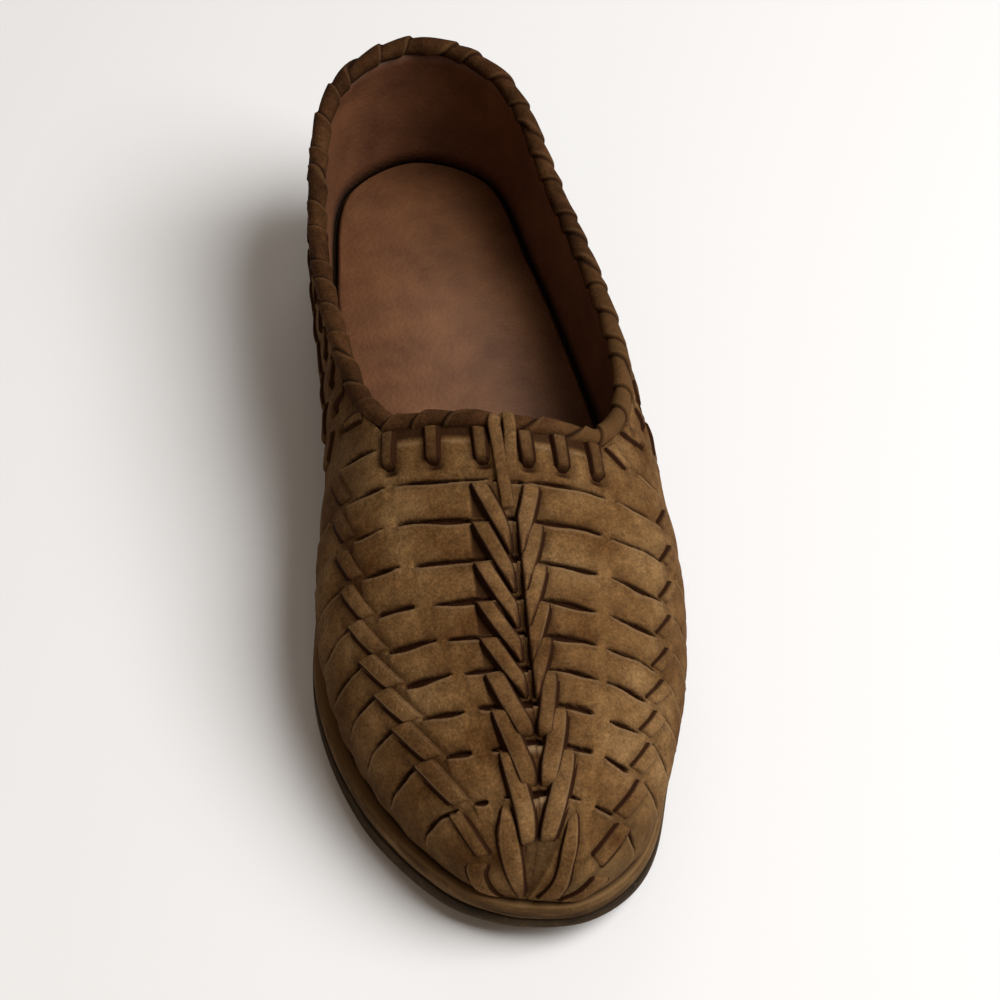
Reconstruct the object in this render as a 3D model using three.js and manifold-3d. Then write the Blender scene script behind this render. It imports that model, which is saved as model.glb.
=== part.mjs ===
// Woven leather slip-on flat, the wearer's left shoe, in millimetres.
// The toe points to -Y, the outer side of the foot is +X, and the sole stands on Z = 0.
import * as THREE from 'three';
import { mergeVertices } from 'three/addons/utils/BufferGeometryUtils.js';
import Module from 'manifold-3d';

// Feather line: the seam where the upper meets the sole, seen from above.
const OUTLINE = [
  { place: 'toe', x: -5.5, y: -118.1 },
  { place: 'outer tip', x: 7, y: -118.8 },
  { place: 'outer toe', x: 19.3, y: -110.9 },
  { place: 'outer forefoot', x: 33.6, y: -81.5 },
  { place: 'outer ball', x: 41, y: -42 },
  { place: 'outer waist', x: 37, y: 15 },
  { place: 'outer heel', x: 29, y: 70 },
  { place: 'outer back', x: 21, y: 105 },
  { place: 'back', x: 0, y: 116 },
  { place: 'inner back', x: -21, y: 105 },
  { place: 'inner heel', x: -29, y: 70 },
  { place: 'inner waist', x: -31.5, y: 15 },
  { place: 'inner ball', x: -41.2, y: -50 },
  { place: 'inner forefoot', x: -34.5, y: -84 },
  { place: 'inner toe', x: -20.5, y: -108.7 },
  { place: 'inner tip', x: -13, y: -114.9 },
];
// Height of the feather line over the floor, with the toe spring and the low heel.
const FEATHER = [
  { y: -118.1, z: 13.4 },
  { y: -95, z: 10.8 },
  { y: -60, z: 9.2 },
  { y: -20, z: 9.5 },
  { y: 30, z: 13.5 },
  { y: 70, z: 17 },
  { y: 116, z: 18 },
];
// Centre ridge of the last, from the toe over the instep. Behind the throat it only guides the quarters.
const RIDGE = [
  { place: 'toe', x: -5.5, y: -118.1, z: 13.4 },
  { place: 'toe front', x: -4.9, y: -117.4, z: 19.4 },
  { place: 'toe top', x: -2.7, y: -112.1, z: 28.2 },
  { place: 'toe box', x: -0.6, y: -97, z: 35 },
  { place: 'ball', x: 0.5, y: -72, z: 42.5 },
  { place: 'vamp', x: 2, y: -45, z: 49.5 },
  { place: 'throat', x: 3, y: -20.5, z: 55.8 },
  { place: 'ankle front', x: 2, y: 25, z: 78 },
  { place: 'ankle', x: 0, y: 70, z: 94 },
  { place: 'ankle back', x: 0, y: 100, z: 99 },
];
// Section of the last at each station: 0 is the toe, 1 the throat, 2 the back of the heel.
const SECTION = [
  { station: 0, leanDeg: 16, rise: 0.7, crown: 0.55 },
  { station: 1, leanDeg: 18, rise: 0.7, crown: 0.55 },
  { station: 1.5, leanDeg: 14, rise: 0.7, crown: 0.55 },
  { station: 2, leanDeg: 5, rise: 0.7, crown: 0.55 },
];
// Height of the wall's top edge along the quarters, under the rolled binding.
const COLLAR = [
  { y: -26, outer: 50.6, inner: 49.5 },
  { y: -10, outer: 45.6, inner: 47.6 },
  { y: 5, outer: 43, inner: 44.5 },
  { y: 45, outer: 42, inner: 43 },
  { y: 85, outer: 48, inner: 48.5 },
  { y: 114, outer: 56, inner: 56 },
];
const THROAT_FOOT_Y = { outer: -26, inner: -6 };
const WALL = 2.4;
const GAP = 0.3;

// Weave: the stations of the slits across the vamp, counted from the toe, and the straps of the quarters.
const TOE_ROWS = [0.075, 0.149];
const VAMP_ROWS = [0.231, 0.329, 0.409, 0.482, 0.553, 0.628, 0.711, 0.798, 0.886];
const QUARTER_STRAPS = 10;
const SLIT_HALF_WIDTH = 0.005;
const SLIT_DEPTH = 1.1;
const STRAP_CAMBER = 0.5;
// Where the slits lie between the sole at 0 and the ridge at 1.
const SLITS = [
  { name: 'side wall', low: 0.09, high: 0.37 },
  { name: 'vamp side', low: 0.43, high: 0.66 },
  { name: 'vamp centre', low: 0.74, high: 0.96 },
];
const LEVELS = [0, 0.1, 0.22, 0.36, 0.44, 0.54, 0.65, 0.7, 0.76, 0.87, 1];
const CORNER_LEVEL = 6;
const LINING_LEVELS = [0, 2, 4, 6, 9, 10];
const LACE_WIDTH = 4.2;
const LACE_PROUD = 1.3;
const LACE_ROOT = 1.4;
const ROLL_RADIUS = 2.6;
const ROLL_SIDES = 8;

// Sole layers. The ledge is how far they stand out past the feather line: the upper sits toward the outer side.
const LEDGE = [
  { y: -119, outer: 2, inner: 2 },
  { y: -108, outer: 1.8, inner: 2.6 },
  { y: -85, outer: 0.1, inner: 3.4 },
  { y: -60, outer: 0.2, inner: 3.2 },
  { y: -30, outer: 0.9, inner: 2 },
  { y: 10, outer: 1.4, inner: 1.4 },
  { y: 60, outer: 1.8, inner: 1.8 },
  { y: 116, outer: 2.2, inner: 2.2 },
];
const MIDSOLE_THICKNESS = 4;
const OUTSOLE_STEP = 0.6;
const EDGE_ROUND = 0.7;
const INSOLE_THICKNESS = 2.4;
const INSOLE_EDGE = WALL + 1.3;
const BREAST_Y = 44;
const TREAD = [
  { y: -123, z: 6.6 },
  { y: -105, z: 2.6 },
  { y: -78, z: 0 },
  { y: -28, z: 0 },
  { y: 5, z: 2.2 },
  { y: 28, z: 3.4 },
  { y: BREAST_Y - 1.5, z: 3.4 },
  { y: BREAST_Y, z: 0 },
  { y: 120, z: 0 },
];
const SOLE_STATIONS = 40;
const CURVE_SAMPLES = 240;

const COLOURS = {
  upper: { color: 0x6d4d2e, roughness: 0.85 },
  binding: { color: 0x4a2d1a, roughness: 0.8 },
  midsole: { color: 0x57402a, roughness: 0.8 },
  outsole: { color: 0x30261a, roughness: 0.75 },
  insole: { color: 0x7a5334, roughness: 0.7 },
};

// A smooth curve through a short table that never overshoots its rows.
function curveThrough(rows, key, column) {
  const at = rows.map((row) => row[key]);
  const value = rows.map((row) => row[column]);
  const slope = [];
  for (let i = 0; i + 1 < rows.length; i += 1) {
    slope.push((value[i + 1] - value[i]) / (at[i + 1] - at[i]));
  }
  const tangent = value.map((_, i) => {
    const before = slope[Math.max(i - 1, 0)];
    const after = slope[Math.min(i, slope.length - 1)];
    if (before * after <= 0) return 0;
    return (2 * before * after) / (before + after);
  });
  return (x) => {
    const inside = THREE.MathUtils.clamp(x, at[0], at[at.length - 1]);
    let i = 0;
    while (i + 2 < at.length && inside > at[i + 1]) i += 1;
    const width = at[i + 1] - at[i];
    const t = (inside - at[i]) / width;
    const s = 1 - t;
    const ends = value[i] * s * s * (1 + 2 * t) + value[i + 1] * t * t * (1 + 2 * s);
    return ends + width * t * s * (tangent[i] * s - tangent[i + 1] * t);
  };
}

const featherZ = curveThrough(FEATHER, 'y', 'z');
const ledges = { outer: curveThrough(LEDGE, 'y', 'outer'), inner: curveThrough(LEDGE, 'y', 'inner') };
const ledgeOut = (y, name) => ledges[name](y);
const treadZ = curveThrough(TREAD, 'y', 'z');
const leanAt = curveThrough(SECTION, 'station', 'leanDeg');
const riseAt = curveThrough(SECTION, 'station', 'rise');
const crownAt = curveThrough(SECTION, 'station', 'crown');

// A line of points with the length run along it.
function measured(points) {
  const run = [0];
  for (let i = 1; i < points.length; i += 1) {
    run.push(run[i - 1] + points[i].distanceTo(points[i - 1]));
  }
  return { points, run, total: run[run.length - 1] };
}

function pointAt(line, distance) {
  let i = 1;
  while (i < line.run.length - 1 && line.run[i] < distance) i += 1;
  const t = (distance - line.run[i - 1]) / (line.run[i] - line.run[i - 1]);
  return line.points[i - 1].clone().lerp(line.points[i], THREE.MathUtils.clamp(t, 0, 1));
}

function runAtY(line, y) {
  const middle = line.points.findIndex((point, i) => i > 0 && point.y >= y);
  const a = line.points[middle - 1];
  const b = line.points[middle];
  return line.run[middle - 1] + ((y - a.y) / (b.y - a.y)) * (line.run[middle] - line.run[middle - 1]);
}

const outlineCurve = new THREE.CatmullRomCurve3(
  OUTLINE.map((row) => new THREE.Vector3(row.x, row.y, 0)), true, 'centripetal');
const ridgeCurve = new THREE.CatmullRomCurve3(
  RIDGE.map((row) => new THREE.Vector3(row.x, row.y, row.z)), false, 'centripetal');

// The two halves of the feather line, both from the toe to the back.
function halfLine(start, end) {
  const points = [];
  for (let i = 0; i <= CURVE_SAMPLES; i += 1) {
    points.push(outlineCurve.getPoint(start + ((end - start) * i) / CURVE_SAMPLES));
  }
  return measured(points);
}

const SIDES = {
  outer: { sign: 1, line: halfLine(0, 0.5) },
  inner: { sign: -1, line: halfLine(1, 0.5) },
};
for (const [name, side] of Object.entries(SIDES)) {
  side.name = name;
  side.throatRun = runAtY(side.line, THROAT_FOOT_Y[name]);
  side.collarZ = curveThrough(COLLAR, 'y', name);
}
const ridgeLine = measured(ridgeCurve.getPoints(CURVE_SAMPLES));
const throatRow = RIDGE.find((row) => row.place === 'throat');
const ridgeThroatRun = runAtY(ridgeLine, throatRow.y);

function stationRun(station, throatRun, total) {
  if (station <= 1) return station * throatRun;
  return throatRun + (station - 1) * (total - throatRun);
}

// Point of the last at a station along the foot and a level from the sole (0) to the ridge (1).
function lastPoint(side, station, level) {
  const line = side.line;
  const run = stationRun(station, side.throatRun, line.total);
  const foot = pointAt(line, run);
  const ahead = pointAt(line, Math.min(run + 0.5, line.total));
  const behind = pointAt(line, Math.max(run - 0.5, 0));
  const along = ahead.sub(behind).normalize();
  const out = new THREE.Vector3(along.y * side.sign, -along.x * side.sign, 0);
  if (station >= 2) out.set(0, 1, 0);
  foot.z = featherZ(foot.y);
  const top = pointAt(ridgeLine, stationRun(station, ridgeThroatRun, ridgeLine.total));
  const height = Math.abs(top.z - foot.z);
  const lean = THREE.MathUtils.degToRad(leanAt(station));
  const lower = foot.clone().addScaledVector(out, Math.sin(lean) * height * riseAt(station));
  lower.z += Math.cos(lean) * height * riseAt(station);
  const across = foot.clone().sub(top).setZ(0).multiplyScalar(crownAt(station));
  const upper = top.clone().add(across);
  return new THREE.CubicBezierCurve3(foot, lower, upper, top).getPoint(level);
}

// Outward normal of the last.
function lastNormal(side, station, level) {
  if (station <= 0) return new THREE.Vector3(0, -1, 0);
  const q = Math.max(station, 0.01);
  const step = 0.004;
  let along = lastPoint(side, Math.min(q + step, 2), level);
  along.sub(lastPoint(side, q - step, level));
  if (station >= 2) along = new THREE.Vector3(-side.sign, 0, 0);
  const above = Math.min(level + 0.01, 1);
  const below = Math.max(level - 0.01, 0);
  let rising = lastPoint(side, q, above).sub(lastPoint(side, q, below));
  if (level >= 1) rising = new THREE.Vector3(-side.sign, 0, 0);
  return along.cross(rising).multiplyScalar(side.sign).normalize();
}

function skinPoint(side, station, level, proud) {
  const point = lastPoint(side, station, level);
  if (level <= 0) {
    const out = lastNormal(side, station, level).setZ(0).normalize();
    return point.addScaledVector(out, proud);
  }
  return point.addScaledVector(lastNormal(side, station, level), proud);
}

// Level at which a quarter's wall reaches its top edge.
function collarLevel(side, station) {
  let low = 0;
  let high = 1;
  for (let i = 0; i < 30; i += 1) {
    const middle = (low + high) / 2;
    const point = lastPoint(side, station, middle);
    if (point.z < side.collarZ(point.y)) low = middle;
    else high = middle;
  }
  return low;
}

// Levels bend near the throat so that the corner of the opening falls on one of them.
function levelAt(side, station, index) {
  const level = LEVELS[index];
  const corner = LEVELS[CORNER_LEVEL];
  const edge = collarLevel(side, Math.max(station, 1));
  const warped = level <= corner
    ? (level / corner) * edge
    : edge + ((level - corner) / (1 - corner)) * (1 - edge);
  return THREE.MathUtils.lerp(level, warped, THREE.MathUtils.smoothstep(station, 0.85, 1));
}

const ROW_LINES = [...TOE_ROWS, ...VAMP_ROWS];
// Plain columns of the wall: the throat, three that follow the curved corner of the opening, and the back.
const PLAIN_LINES = [1, 1.03, 1.065, 1.15, 2];
const STRAP_LINES = [];
for (let strap = 1; strap < QUARTER_STRAPS; strap += 1) STRAP_LINES.push(1 + strap / QUARTER_STRAPS);

// Columns of the woven skin: each slit has two lips and a bottom, and each strap a cambered middle.
function skinColumns() {
  const columns = [{ station: 0, kind: 'end' }];
  let last = 0;
  const lines = [...ROW_LINES, ...STRAP_LINES, ...PLAIN_LINES].sort((a, b) => a - b);
  for (const line of lines) {
    if (line <= 1) columns.push({ station: (last + line) / 2, kind: 'crown' });
    if (PLAIN_LINES.includes(line)) {
      columns.push({ station: line, kind: 'end' });
    } else {
      columns.push({ station: line - SLIT_HALF_WIDTH, kind: 'lip' });
      columns.push({ station: line, kind: 'slit' });
      columns.push({ station: line + SLIT_HALF_WIDTH, kind: 'lip' });
    }
    last = line;
  }
  return columns;
}

function relief(column, level) {
  if (level <= 0 || level >= 1) return 0;
  if (column.kind === 'crown') return STRAP_CAMBER * Math.min(1, 8 * Math.min(level, 1 - level));
  if (column.kind !== 'slit') return 0;
  const toeRow = TOE_ROWS.includes(column.station);
  const cut = SLITS.some((slit) => level >= slit.low && level <= slit.high);
  return cut && !(toeRow && level > SLITS[0].high) ? -SLIT_DEPTH : 0;
}

const soup = [];
function triangle(a, b, c) {
  soup.push(a, b, c);
}

function takeSolid() {
  const geometry = new THREE.BufferGeometry().setFromPoints(soup.splice(0));
  const merged = mergeVertices(geometry, 1e-3);
  const index = merged.index.array;
  const kept = [];
  for (let i = 0; i < index.length; i += 3) {
    const [a, b, c] = [index[i], index[i + 1], index[i + 2]];
    if (a !== b && b !== c && c !== a) kept.push(a, b, c);
  }
  merged.setIndex(kept);
  return facingOut(merged);
}

function signedVolume(geometry) {
  const position = geometry.attributes.position;
  const index = geometry.index.array;
  const corner = [new THREE.Vector3(), new THREE.Vector3(), new THREE.Vector3()];
  let volume = 0;
  for (let i = 0; i < index.length; i += 3) {
    corner.forEach((point, k) => point.fromBufferAttribute(position, index[i + k]));
    volume += corner[0].dot(corner[1].clone().cross(corner[2])) / 6;
  }
  return volume;
}

function facingOut(geometry) {
  if (signedVolume(geometry) < 0) geometry.setIndex(Array.from(geometry.index.array).reverse());
  return geometry;
}

// Two lines of points joined by triangles, whatever the count of each: the shorter way across comes first.
function zip(first, second, flip) {
  let i = 0;
  let j = 0;
  while (i < first.length - 1 || j < second.length - 1) {
    const firstLeft = i < first.length - 1;
    const secondLeft = j < second.length - 1;
    const firstWay = firstLeft ? first[i + 1].distanceTo(second[j]) : Infinity;
    const secondWay = secondLeft ? first[i].distanceTo(second[j + 1]) : Infinity;
    const moveFirst = firstWay <= secondWay;
    const third = moveFirst ? first[i + 1] : second[j + 1];
    if (flip) triangle(first[i], third, second[j]);
    else triangle(first[i], second[j], third);
    if (moveFirst) i += 1;
    else j += 1;
  }
}

function sheet(grid, flip) {
  for (let i = 0; i + 1 < grid.length; i += 1) {
    const shared = Math.min(grid[i].length, grid[i + 1].length);
    zip(grid[i].slice(0, shared), grid[i + 1].slice(0, shared), flip);
  }
}

// Outer skin and lining of one half, as columns of points that rise from the sole.
function skinGrid(side) {
  return skinColumns().map((column) => {
    const count = column.station <= 1 ? LEVELS.length : CORNER_LEVEL + 1;
    return LEVELS.slice(0, count).map((_, index) => {
      const level = levelAt(side, column.station, index);
      return skinPoint(side, column.station, level, relief(column, LEVELS[index]));
    });
  });
}

function liningGrid(side) {
  const columns = skinColumns().filter((column) => column.kind === 'end' || column.kind === 'slit');
  return columns.map((column) => {
    const levels = LINING_LEVELS.filter((index) => column.station <= 1 || index <= CORNER_LEVEL);
    return levels.map((index) => skinPoint(side, column.station, levelAt(side, column.station, index), -WALL));
  });
}

function buildWall() {
  for (const side of Object.values(SIDES)) {
    const flip = side.sign < 0;
    const skin = skinGrid(side);
    const lining = liningGrid(side);
    sheet(skin, flip);
    sheet(lining, !flip);
    zip(skin.map((column) => column[0]), lining.map((column) => column[0]), flip);
    const collar = (grid, corner) => grid.filter((column) => column.length === corner + 1);
    const throatSkin = skin.filter((column) => column.length === LEVELS.length).at(-1);
    const throatLining = lining.filter((column) => column.length === LINING_LEVELS.length).at(-1);
    const liningCorner = LINING_LEVELS.indexOf(CORNER_LEVEL);
    const topSkin = [throatSkin[CORNER_LEVEL]];
    topSkin.push(...collar(skin, CORNER_LEVEL).map((column) => column.at(-1)));
    const topLining = [throatLining[liningCorner]];
    topLining.push(...collar(lining, liningCorner).map((column) => column.at(-1)));
    zip(topSkin, topLining, !flip);
    zip(throatSkin.slice(CORNER_LEVEL), throatLining.slice(liningCorner), flip);
  }
  return takeSolid();
}

// A flat lace that comes out of the wall, lies on it and tucks in again.
function lace(side, from, to, width, stations = 3) {
  const rings = [];
  for (let i = 0; i < stations; i += 1) {
    const t = i / (stations - 1);
    const station = THREE.MathUtils.lerp(from.station, to.station, t);
    const level = THREE.MathUtils.lerp(from.level, to.level, t);
    const base = lastPoint(side, station, level);
    const normal = lastNormal(side, station, level);
    const ahead = lastPoint(side, to.station, to.level).sub(lastPoint(side, from.station, from.level));
    const across = normal.clone().cross(ahead).normalize();
    const end = i === 0 || i === stations - 1;
    const top = end ? 0.15 : LACE_PROUD;
    const ring = [[-0.5, -LACE_ROOT], [0.5, -LACE_ROOT], [0.42, top], [-0.42, top]];
    rings.push(ring.map(([w, h]) => base.clone().addScaledVector(across, w * width).addScaledVector(normal, h)));
  }
  return tubeOf(rings, false);
}

// Rings of points joined into a closed solid, capped at both ends or run round to the start.
function tubeOf(rings, closed) {
  const count = rings[0].length;
  const last = closed ? rings.length : rings.length - 1;
  for (let i = 0; i < last; i += 1) {
    const a = rings[i];
    const b = rings[(i + 1) % rings.length];
    for (let k = 0; k < count; k += 1) {
      const n = (k + 1) % count;
      triangle(a[k], b[k], a[n]);
      triangle(a[n], b[k], b[n]);
    }
  }
  if (!closed) {
    for (let k = 1; k + 1 < count; k += 1) {
      triangle(rings[0][0], rings[0][k], rings[0][k + 1]);
      triangle(rings.at(-1)[0], rings.at(-1)[k + 1], rings.at(-1)[k]);
    }
  }
  return takeSolid();
}

const at = (station, level) => ({ station, level });
// The braid spreads toward the toe on the outer side, and the side chain climbs toward it on both.
const BRAID_EDGE = {
  outer: { toe: 0.76, throat: 0.905, until: 0.5 },
  inner: { toe: 0.83, throat: 0.87, until: 0.9 },
};
const CHAIN_LEVEL = {
  outer: { toe: 0.47, throat: 0.345, until: 0.9 },
  inner: { toe: 0.55, throat: 0.335, until: 0.9 },
};
const rampAt = (ramp, station) => {
  const t = THREE.MathUtils.clamp((station - VAMP_ROWS[0]) / (ramp.until - VAMP_ROWS[0]), 0, 1);
  return THREE.MathUtils.lerp(ramp.toe, ramp.throat, t);
};

// The centre braid: from each slit a pair of laces runs forward and inward under the next pair but one.
function braidLaces(side) {
  const laces = VAMP_ROWS.map((row, i) => {
    const end = i >= 2 ? VAMP_ROWS[i - 2] : 0.05 + 0.05 * i;
    return lace(side, at(row, rampAt(BRAID_EDGE[side.name], row)), at(end + 0.012, 0.965), LACE_WIDTH, 4);
  });
  laces.push(lace(side, at(0.99, 0.962), at(VAMP_ROWS.at(-2), 0.975), LACE_WIDTH * 0.7));
  return laces;
}

// The side chain: short laces that cross from each side-wall slit to the next vamp slit.
function chainLaces(side) {
  const rows = ROW_LINES;
  return rows.slice(1).map((row, i) => {
    const next = rows[i];
    const middle = rampAt(CHAIN_LEVEL[side.name], row);
    return lace(side, at(row + 0.004, middle - 0.075), at(next + 0.004, middle + 0.07), LACE_WIDTH);
  });
}

// On the quarters the chain runs below the top edge, and its laces lean back.
function quarterLaces(side) {
  return [1, ...STRAP_LINES].map((line) => {
    const start = collarLevel(side, line + 0.02) * 0.42;
    const end = collarLevel(side, line + 0.07) * 0.64;
    return lace(side, at(line + 0.02, start), at(line + 0.07, end), LACE_WIDTH * 0.9);
  });
}

// Whip tabs that hang from the rolled edge into their holes.
const TAB_STATION_END = 0.92;
const THROAT_TABS = { outer: [0.925, 0.8, 0.69], inner: [0.905, 0.76, 0.63] };
const TAB_PITCH = 1 / 11;
const TAB_SLANT = 0.03;
function whipTabs(side) {
  const tabs = THROAT_TABS[side.name].map((level) => {
    return lace(side, at(0.992, level), at(TAB_STATION_END, level), LACE_WIDTH * 1.1);
  });
  for (let station = 1.04; station < 1.98; station += TAB_PITCH) {
    const edge = collarLevel(side, station);
    const foot = station - TAB_SLANT;
    const below = collarLevel(side, Math.max(foot, 1)) * 0.74;
    tabs.push(lace(side, at(station, edge * 0.94), at(foot, below), LACE_WIDTH));
  }
  return tabs;
}

const wasm = await Module();
wasm.setup();
const { Manifold, Mesh } = wasm;

function toManifold(geometry) {
  return new Manifold(new Mesh({
    numProp: 3,
    vertProperties: new Float32Array(geometry.attributes.position.array),
    triVerts: new Uint32Array(geometry.index.array),
  }));
}

function fromManifold(solid) {
  const mesh = solid.getMesh();
  const geometry = new THREE.BufferGeometry();
  const position = new Float32Array(mesh.numVert * 3);
  for (let i = 0; i < mesh.numVert; i += 1) {
    for (let k = 0; k < 3; k += 1) position[i * 3 + k] = mesh.vertProperties[i * mesh.numProp + k];
  }
  geometry.setAttribute('position', new THREE.BufferAttribute(position, 3));
  geometry.setIndex(Array.from(mesh.triVerts));
  return geometry;
}

function upperGeometry() {
  const pieces = [buildWall()];
  for (const side of Object.values(SIDES)) {
    pieces.push(...braidLaces(side), ...chainLaces(side), ...quarterLaces(side), ...whipTabs(side));
  }
  return fromManifold(Manifold.union(pieces.map(toManifold)));
}

// The rolled edge: a cord that follows the top of the wall all round the opening.
// Each ring stands off the edge, square to the line between the places before and after it.
function rollRing(side, here, before, after, reach = 1) {
  const edge = skinPoint(side, here.station, here.level, -WALL / 2);
  const normal = lastNormal(side, here.station, here.level);
  const along = skinPoint(side, after.station, after.level, -WALL / 2);
  along.sub(skinPoint(side, before.station, before.level, -WALL / 2));
  const away = normal.clone().cross(along).multiplyScalar(side.sign).normalize();
  const apothem = ROLL_RADIUS * Math.cos(Math.PI / ROLL_SIDES);
  const centre = edge.addScaledVector(away, (apothem + GAP) * reach);
  const ring = [];
  for (let k = 0; k < ROLL_SIDES; k += 1) {
    const angle = ((k + 0.5) / ROLL_SIDES) * 2 * Math.PI;
    const spoke = away.clone().multiplyScalar(Math.cos(angle)).addScaledVector(normal, Math.sin(angle));
    ring.push(centre.clone().addScaledVector(spoke, ROLL_RADIUS));
  }
  return ring;
}

const ROLL_THROAT_STEPS = 7;
const ROLL_QUARTER_STEPS = 22;
// How far the roll keeps from the corners of the opening, where it turns.
const CORNER_CLEAR = { level: 0.07, station: 0.04, reach: 1.3 };
const quarterEdge = (side, station) => at(station, collarLevel(side, station));
function rollHalf(side) {
  const corner = collarLevel(side, 1);
  const step = 0.015;
  const rings = [];
  for (let i = 0; i < ROLL_THROAT_STEPS; i += 1) {
    const level = THREE.MathUtils.lerp(1, corner + CORNER_CLEAR.level, i / (ROLL_THROAT_STEPS - 1));
    rings.push(rollRing(side, at(1, level), at(1, Math.min(level + step, 1)), at(1, level - step)));
  }
  rings.push(rollRing(side, at(1, corner), at(1, corner + 0.05), quarterEdge(side, 1.03), CORNER_CLEAR.reach));
  for (let i = 0; i <= ROLL_QUARTER_STEPS; i += 1) {
    const station = THREE.MathUtils.lerp(1 + CORNER_CLEAR.station, 2, i / ROLL_QUARTER_STEPS);
    const before = quarterEdge(side, station - step);
    rings.push(rollRing(side, quarterEdge(side, station), before, quarterEdge(side, Math.min(station + step, 2))));
  }
  return rings;
}

function bindingGeometry() {
  const outer = rollHalf(SIDES.outer);
  const inner = rollHalf(SIDES.inner);
  return tubeOf([...outer, ...inner.slice(1, -1).reverse()], true);
}

// Half of the feather line moved outward, from the toe to the back.
function offsetHalf(side, grow) {
  const points = [];
  const line = side.line;
  for (let i = 0; i <= CURVE_SAMPLES; i += 1) {
    const run = (line.total * i) / CURVE_SAMPLES;
    const point = pointAt(line, run);
    const along = pointAt(line, Math.min(run + 0.5, line.total)).sub(pointAt(line, Math.max(run - 0.5, 0)));
    const out = new THREE.Vector3(along.y * side.sign, -along.x * side.sign, 0).normalize();
    if (i === CURVE_SAMPLES) out.set(0, 1, 0);
    points.push(point.addScaledVector(out, grow(point.y, side.name)));
  }
  return points;
}

// Outline of a sole layer, as two halves from its foremost point to its hindmost.
function layerHalves(grow) {
  const outer = offsetHalf(SIDES.outer, grow);
  const inner = offsetHalf(SIDES.inner, grow);
  const loop = [...outer, ...inner.slice(1, -1).reverse()];
  const front = loop.reduce((best, point, i) => (point.y < loop[best].y ? i : best), 0);
  const turned = [...loop.slice(front), ...loop.slice(0, front)];
  const back = turned.reduce((best, point, i) => (point.y > turned[best].y ? i : best), 0);
  return { outer: turned.slice(0, back + 1), inner: [turned[0], ...turned.slice(back).reverse()] };
}

function widthAt(points, y) {
  for (let i = 1; i < points.length; i += 1) {
    if (points[i].y >= y) {
      const rise = points[i].y - points[i - 1].y;
      const t = rise > 1e-6 ? (y - points[i - 1].y) / rise : 1;
      return THREE.MathUtils.lerp(points[i - 1].x, points[i].x, THREE.MathUtils.clamp(t, 0, 1));
    }
  }
  return points.at(-1).x;
}

// Stations close up toward the toe and the back, and pass through every named line across the sole.
function soleStations(front, back, lines) {
  const stations = [];
  for (let i = 0; i <= SOLE_STATIONS; i += 1) {
    stations.push(front + ((back - front) * (1 - Math.cos((Math.PI * i) / SOLE_STATIONS))) / 2);
  }
  const clear = stations.filter((y, i) => {
    const end = i === 0 || i === SOLE_STATIONS;
    return end || lines.every((line) => Math.abs(line - y) > 0.7);
  });
  return [...clear, ...lines].sort((a, b) => a - b);
}

// One layer of the sole: rings from its underside to its top, each with its own growth and height.
function soleLayer(rings, lines) {
  const halves = rings.map((ring) => layerHalves(ring.grow));
  const rungs = halves.map((half, k) => {
    const front = half.outer[0].y;
    const back = half.outer.at(-1).y;
    return soleStations(front, back, lines).map((y) => ({
      outer: new THREE.Vector3(widthAt(half.outer, y), y, rings[k].height(y)),
      inner: new THREE.Vector3(widthAt(half.inner, y), y, rings[k].height(y)),
    }));
  });
  const tips = rungs.map((layer) => {
    layer[0].inner.copy(layer[0].outer);
    layer.at(-1).inner.copy(layer.at(-1).outer);
    return layer;
  });
  tips.forEach((layer, k) => {
    if (k === 0) return;
    zip(tips[k - 1].map((rung) => rung.outer), layer.map((rung) => rung.outer), true);
    zip(tips[k - 1].map((rung) => rung.inner), layer.map((rung) => rung.inner), false);
  });
  const under = tips[0];
  const top = tips.at(-1);
  zip(under.map((rung) => rung.outer), under.map((rung) => rung.inner), false);
  zip(top.map((rung) => rung.outer), top.map((rung) => rung.inner), true);
  return takeSolid();
}

const midsoleTop = (y) => featherZ(y) - GAP;
const midsoleUnder = (y) => midsoleTop(y) - MIDSOLE_THICKNESS;
const outsoleTop = (y) => midsoleUnder(y) - GAP;

function midsoleGeometry() {
  return soleLayer([
    { grow: ledgeOut, height: midsoleUnder },
    { grow: (y, name) => ledgeOut(y, name) + EDGE_ROUND / 2, height: (y) => midsoleUnder(y) + MIDSOLE_THICKNESS / 2 },
    { grow: (y, name) => ledgeOut(y, name) - EDGE_ROUND / 2, height: midsoleTop },
  ], []);
}

function outsoleGeometry() {
  const lines = TREAD.slice(1, -1).map((row) => row.y);
  return soleLayer([
    { grow: (y, name) => ledgeOut(y, name) + OUTSOLE_STEP - EDGE_ROUND, height: treadZ },
    { grow: (y, name) => ledgeOut(y, name) + OUTSOLE_STEP, height: (y) => treadZ(y) + EDGE_ROUND },
    { grow: (y, name) => ledgeOut(y, name) + OUTSOLE_STEP, height: outsoleTop },
  ], lines);
}

function insoleGeometry() {
  const grow = () => -INSOLE_EDGE;
  return soleLayer([
    { grow, height: featherZ },
    { grow, height: (y) => featherZ(y) + INSOLE_THICKNESS },
  ], []);
}

function piece(name, geometry, finish) {
  const material = new THREE.MeshStandardMaterial({ ...finish, metalness: 0, flatShading: true });
  const mesh = new THREE.Mesh(geometry, material);
  mesh.name = name;
  return mesh;
}

// The frame's origin is under the middle of the shoe.
const MIDDLE = { x: -0.597, y: -1.532 };

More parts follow.
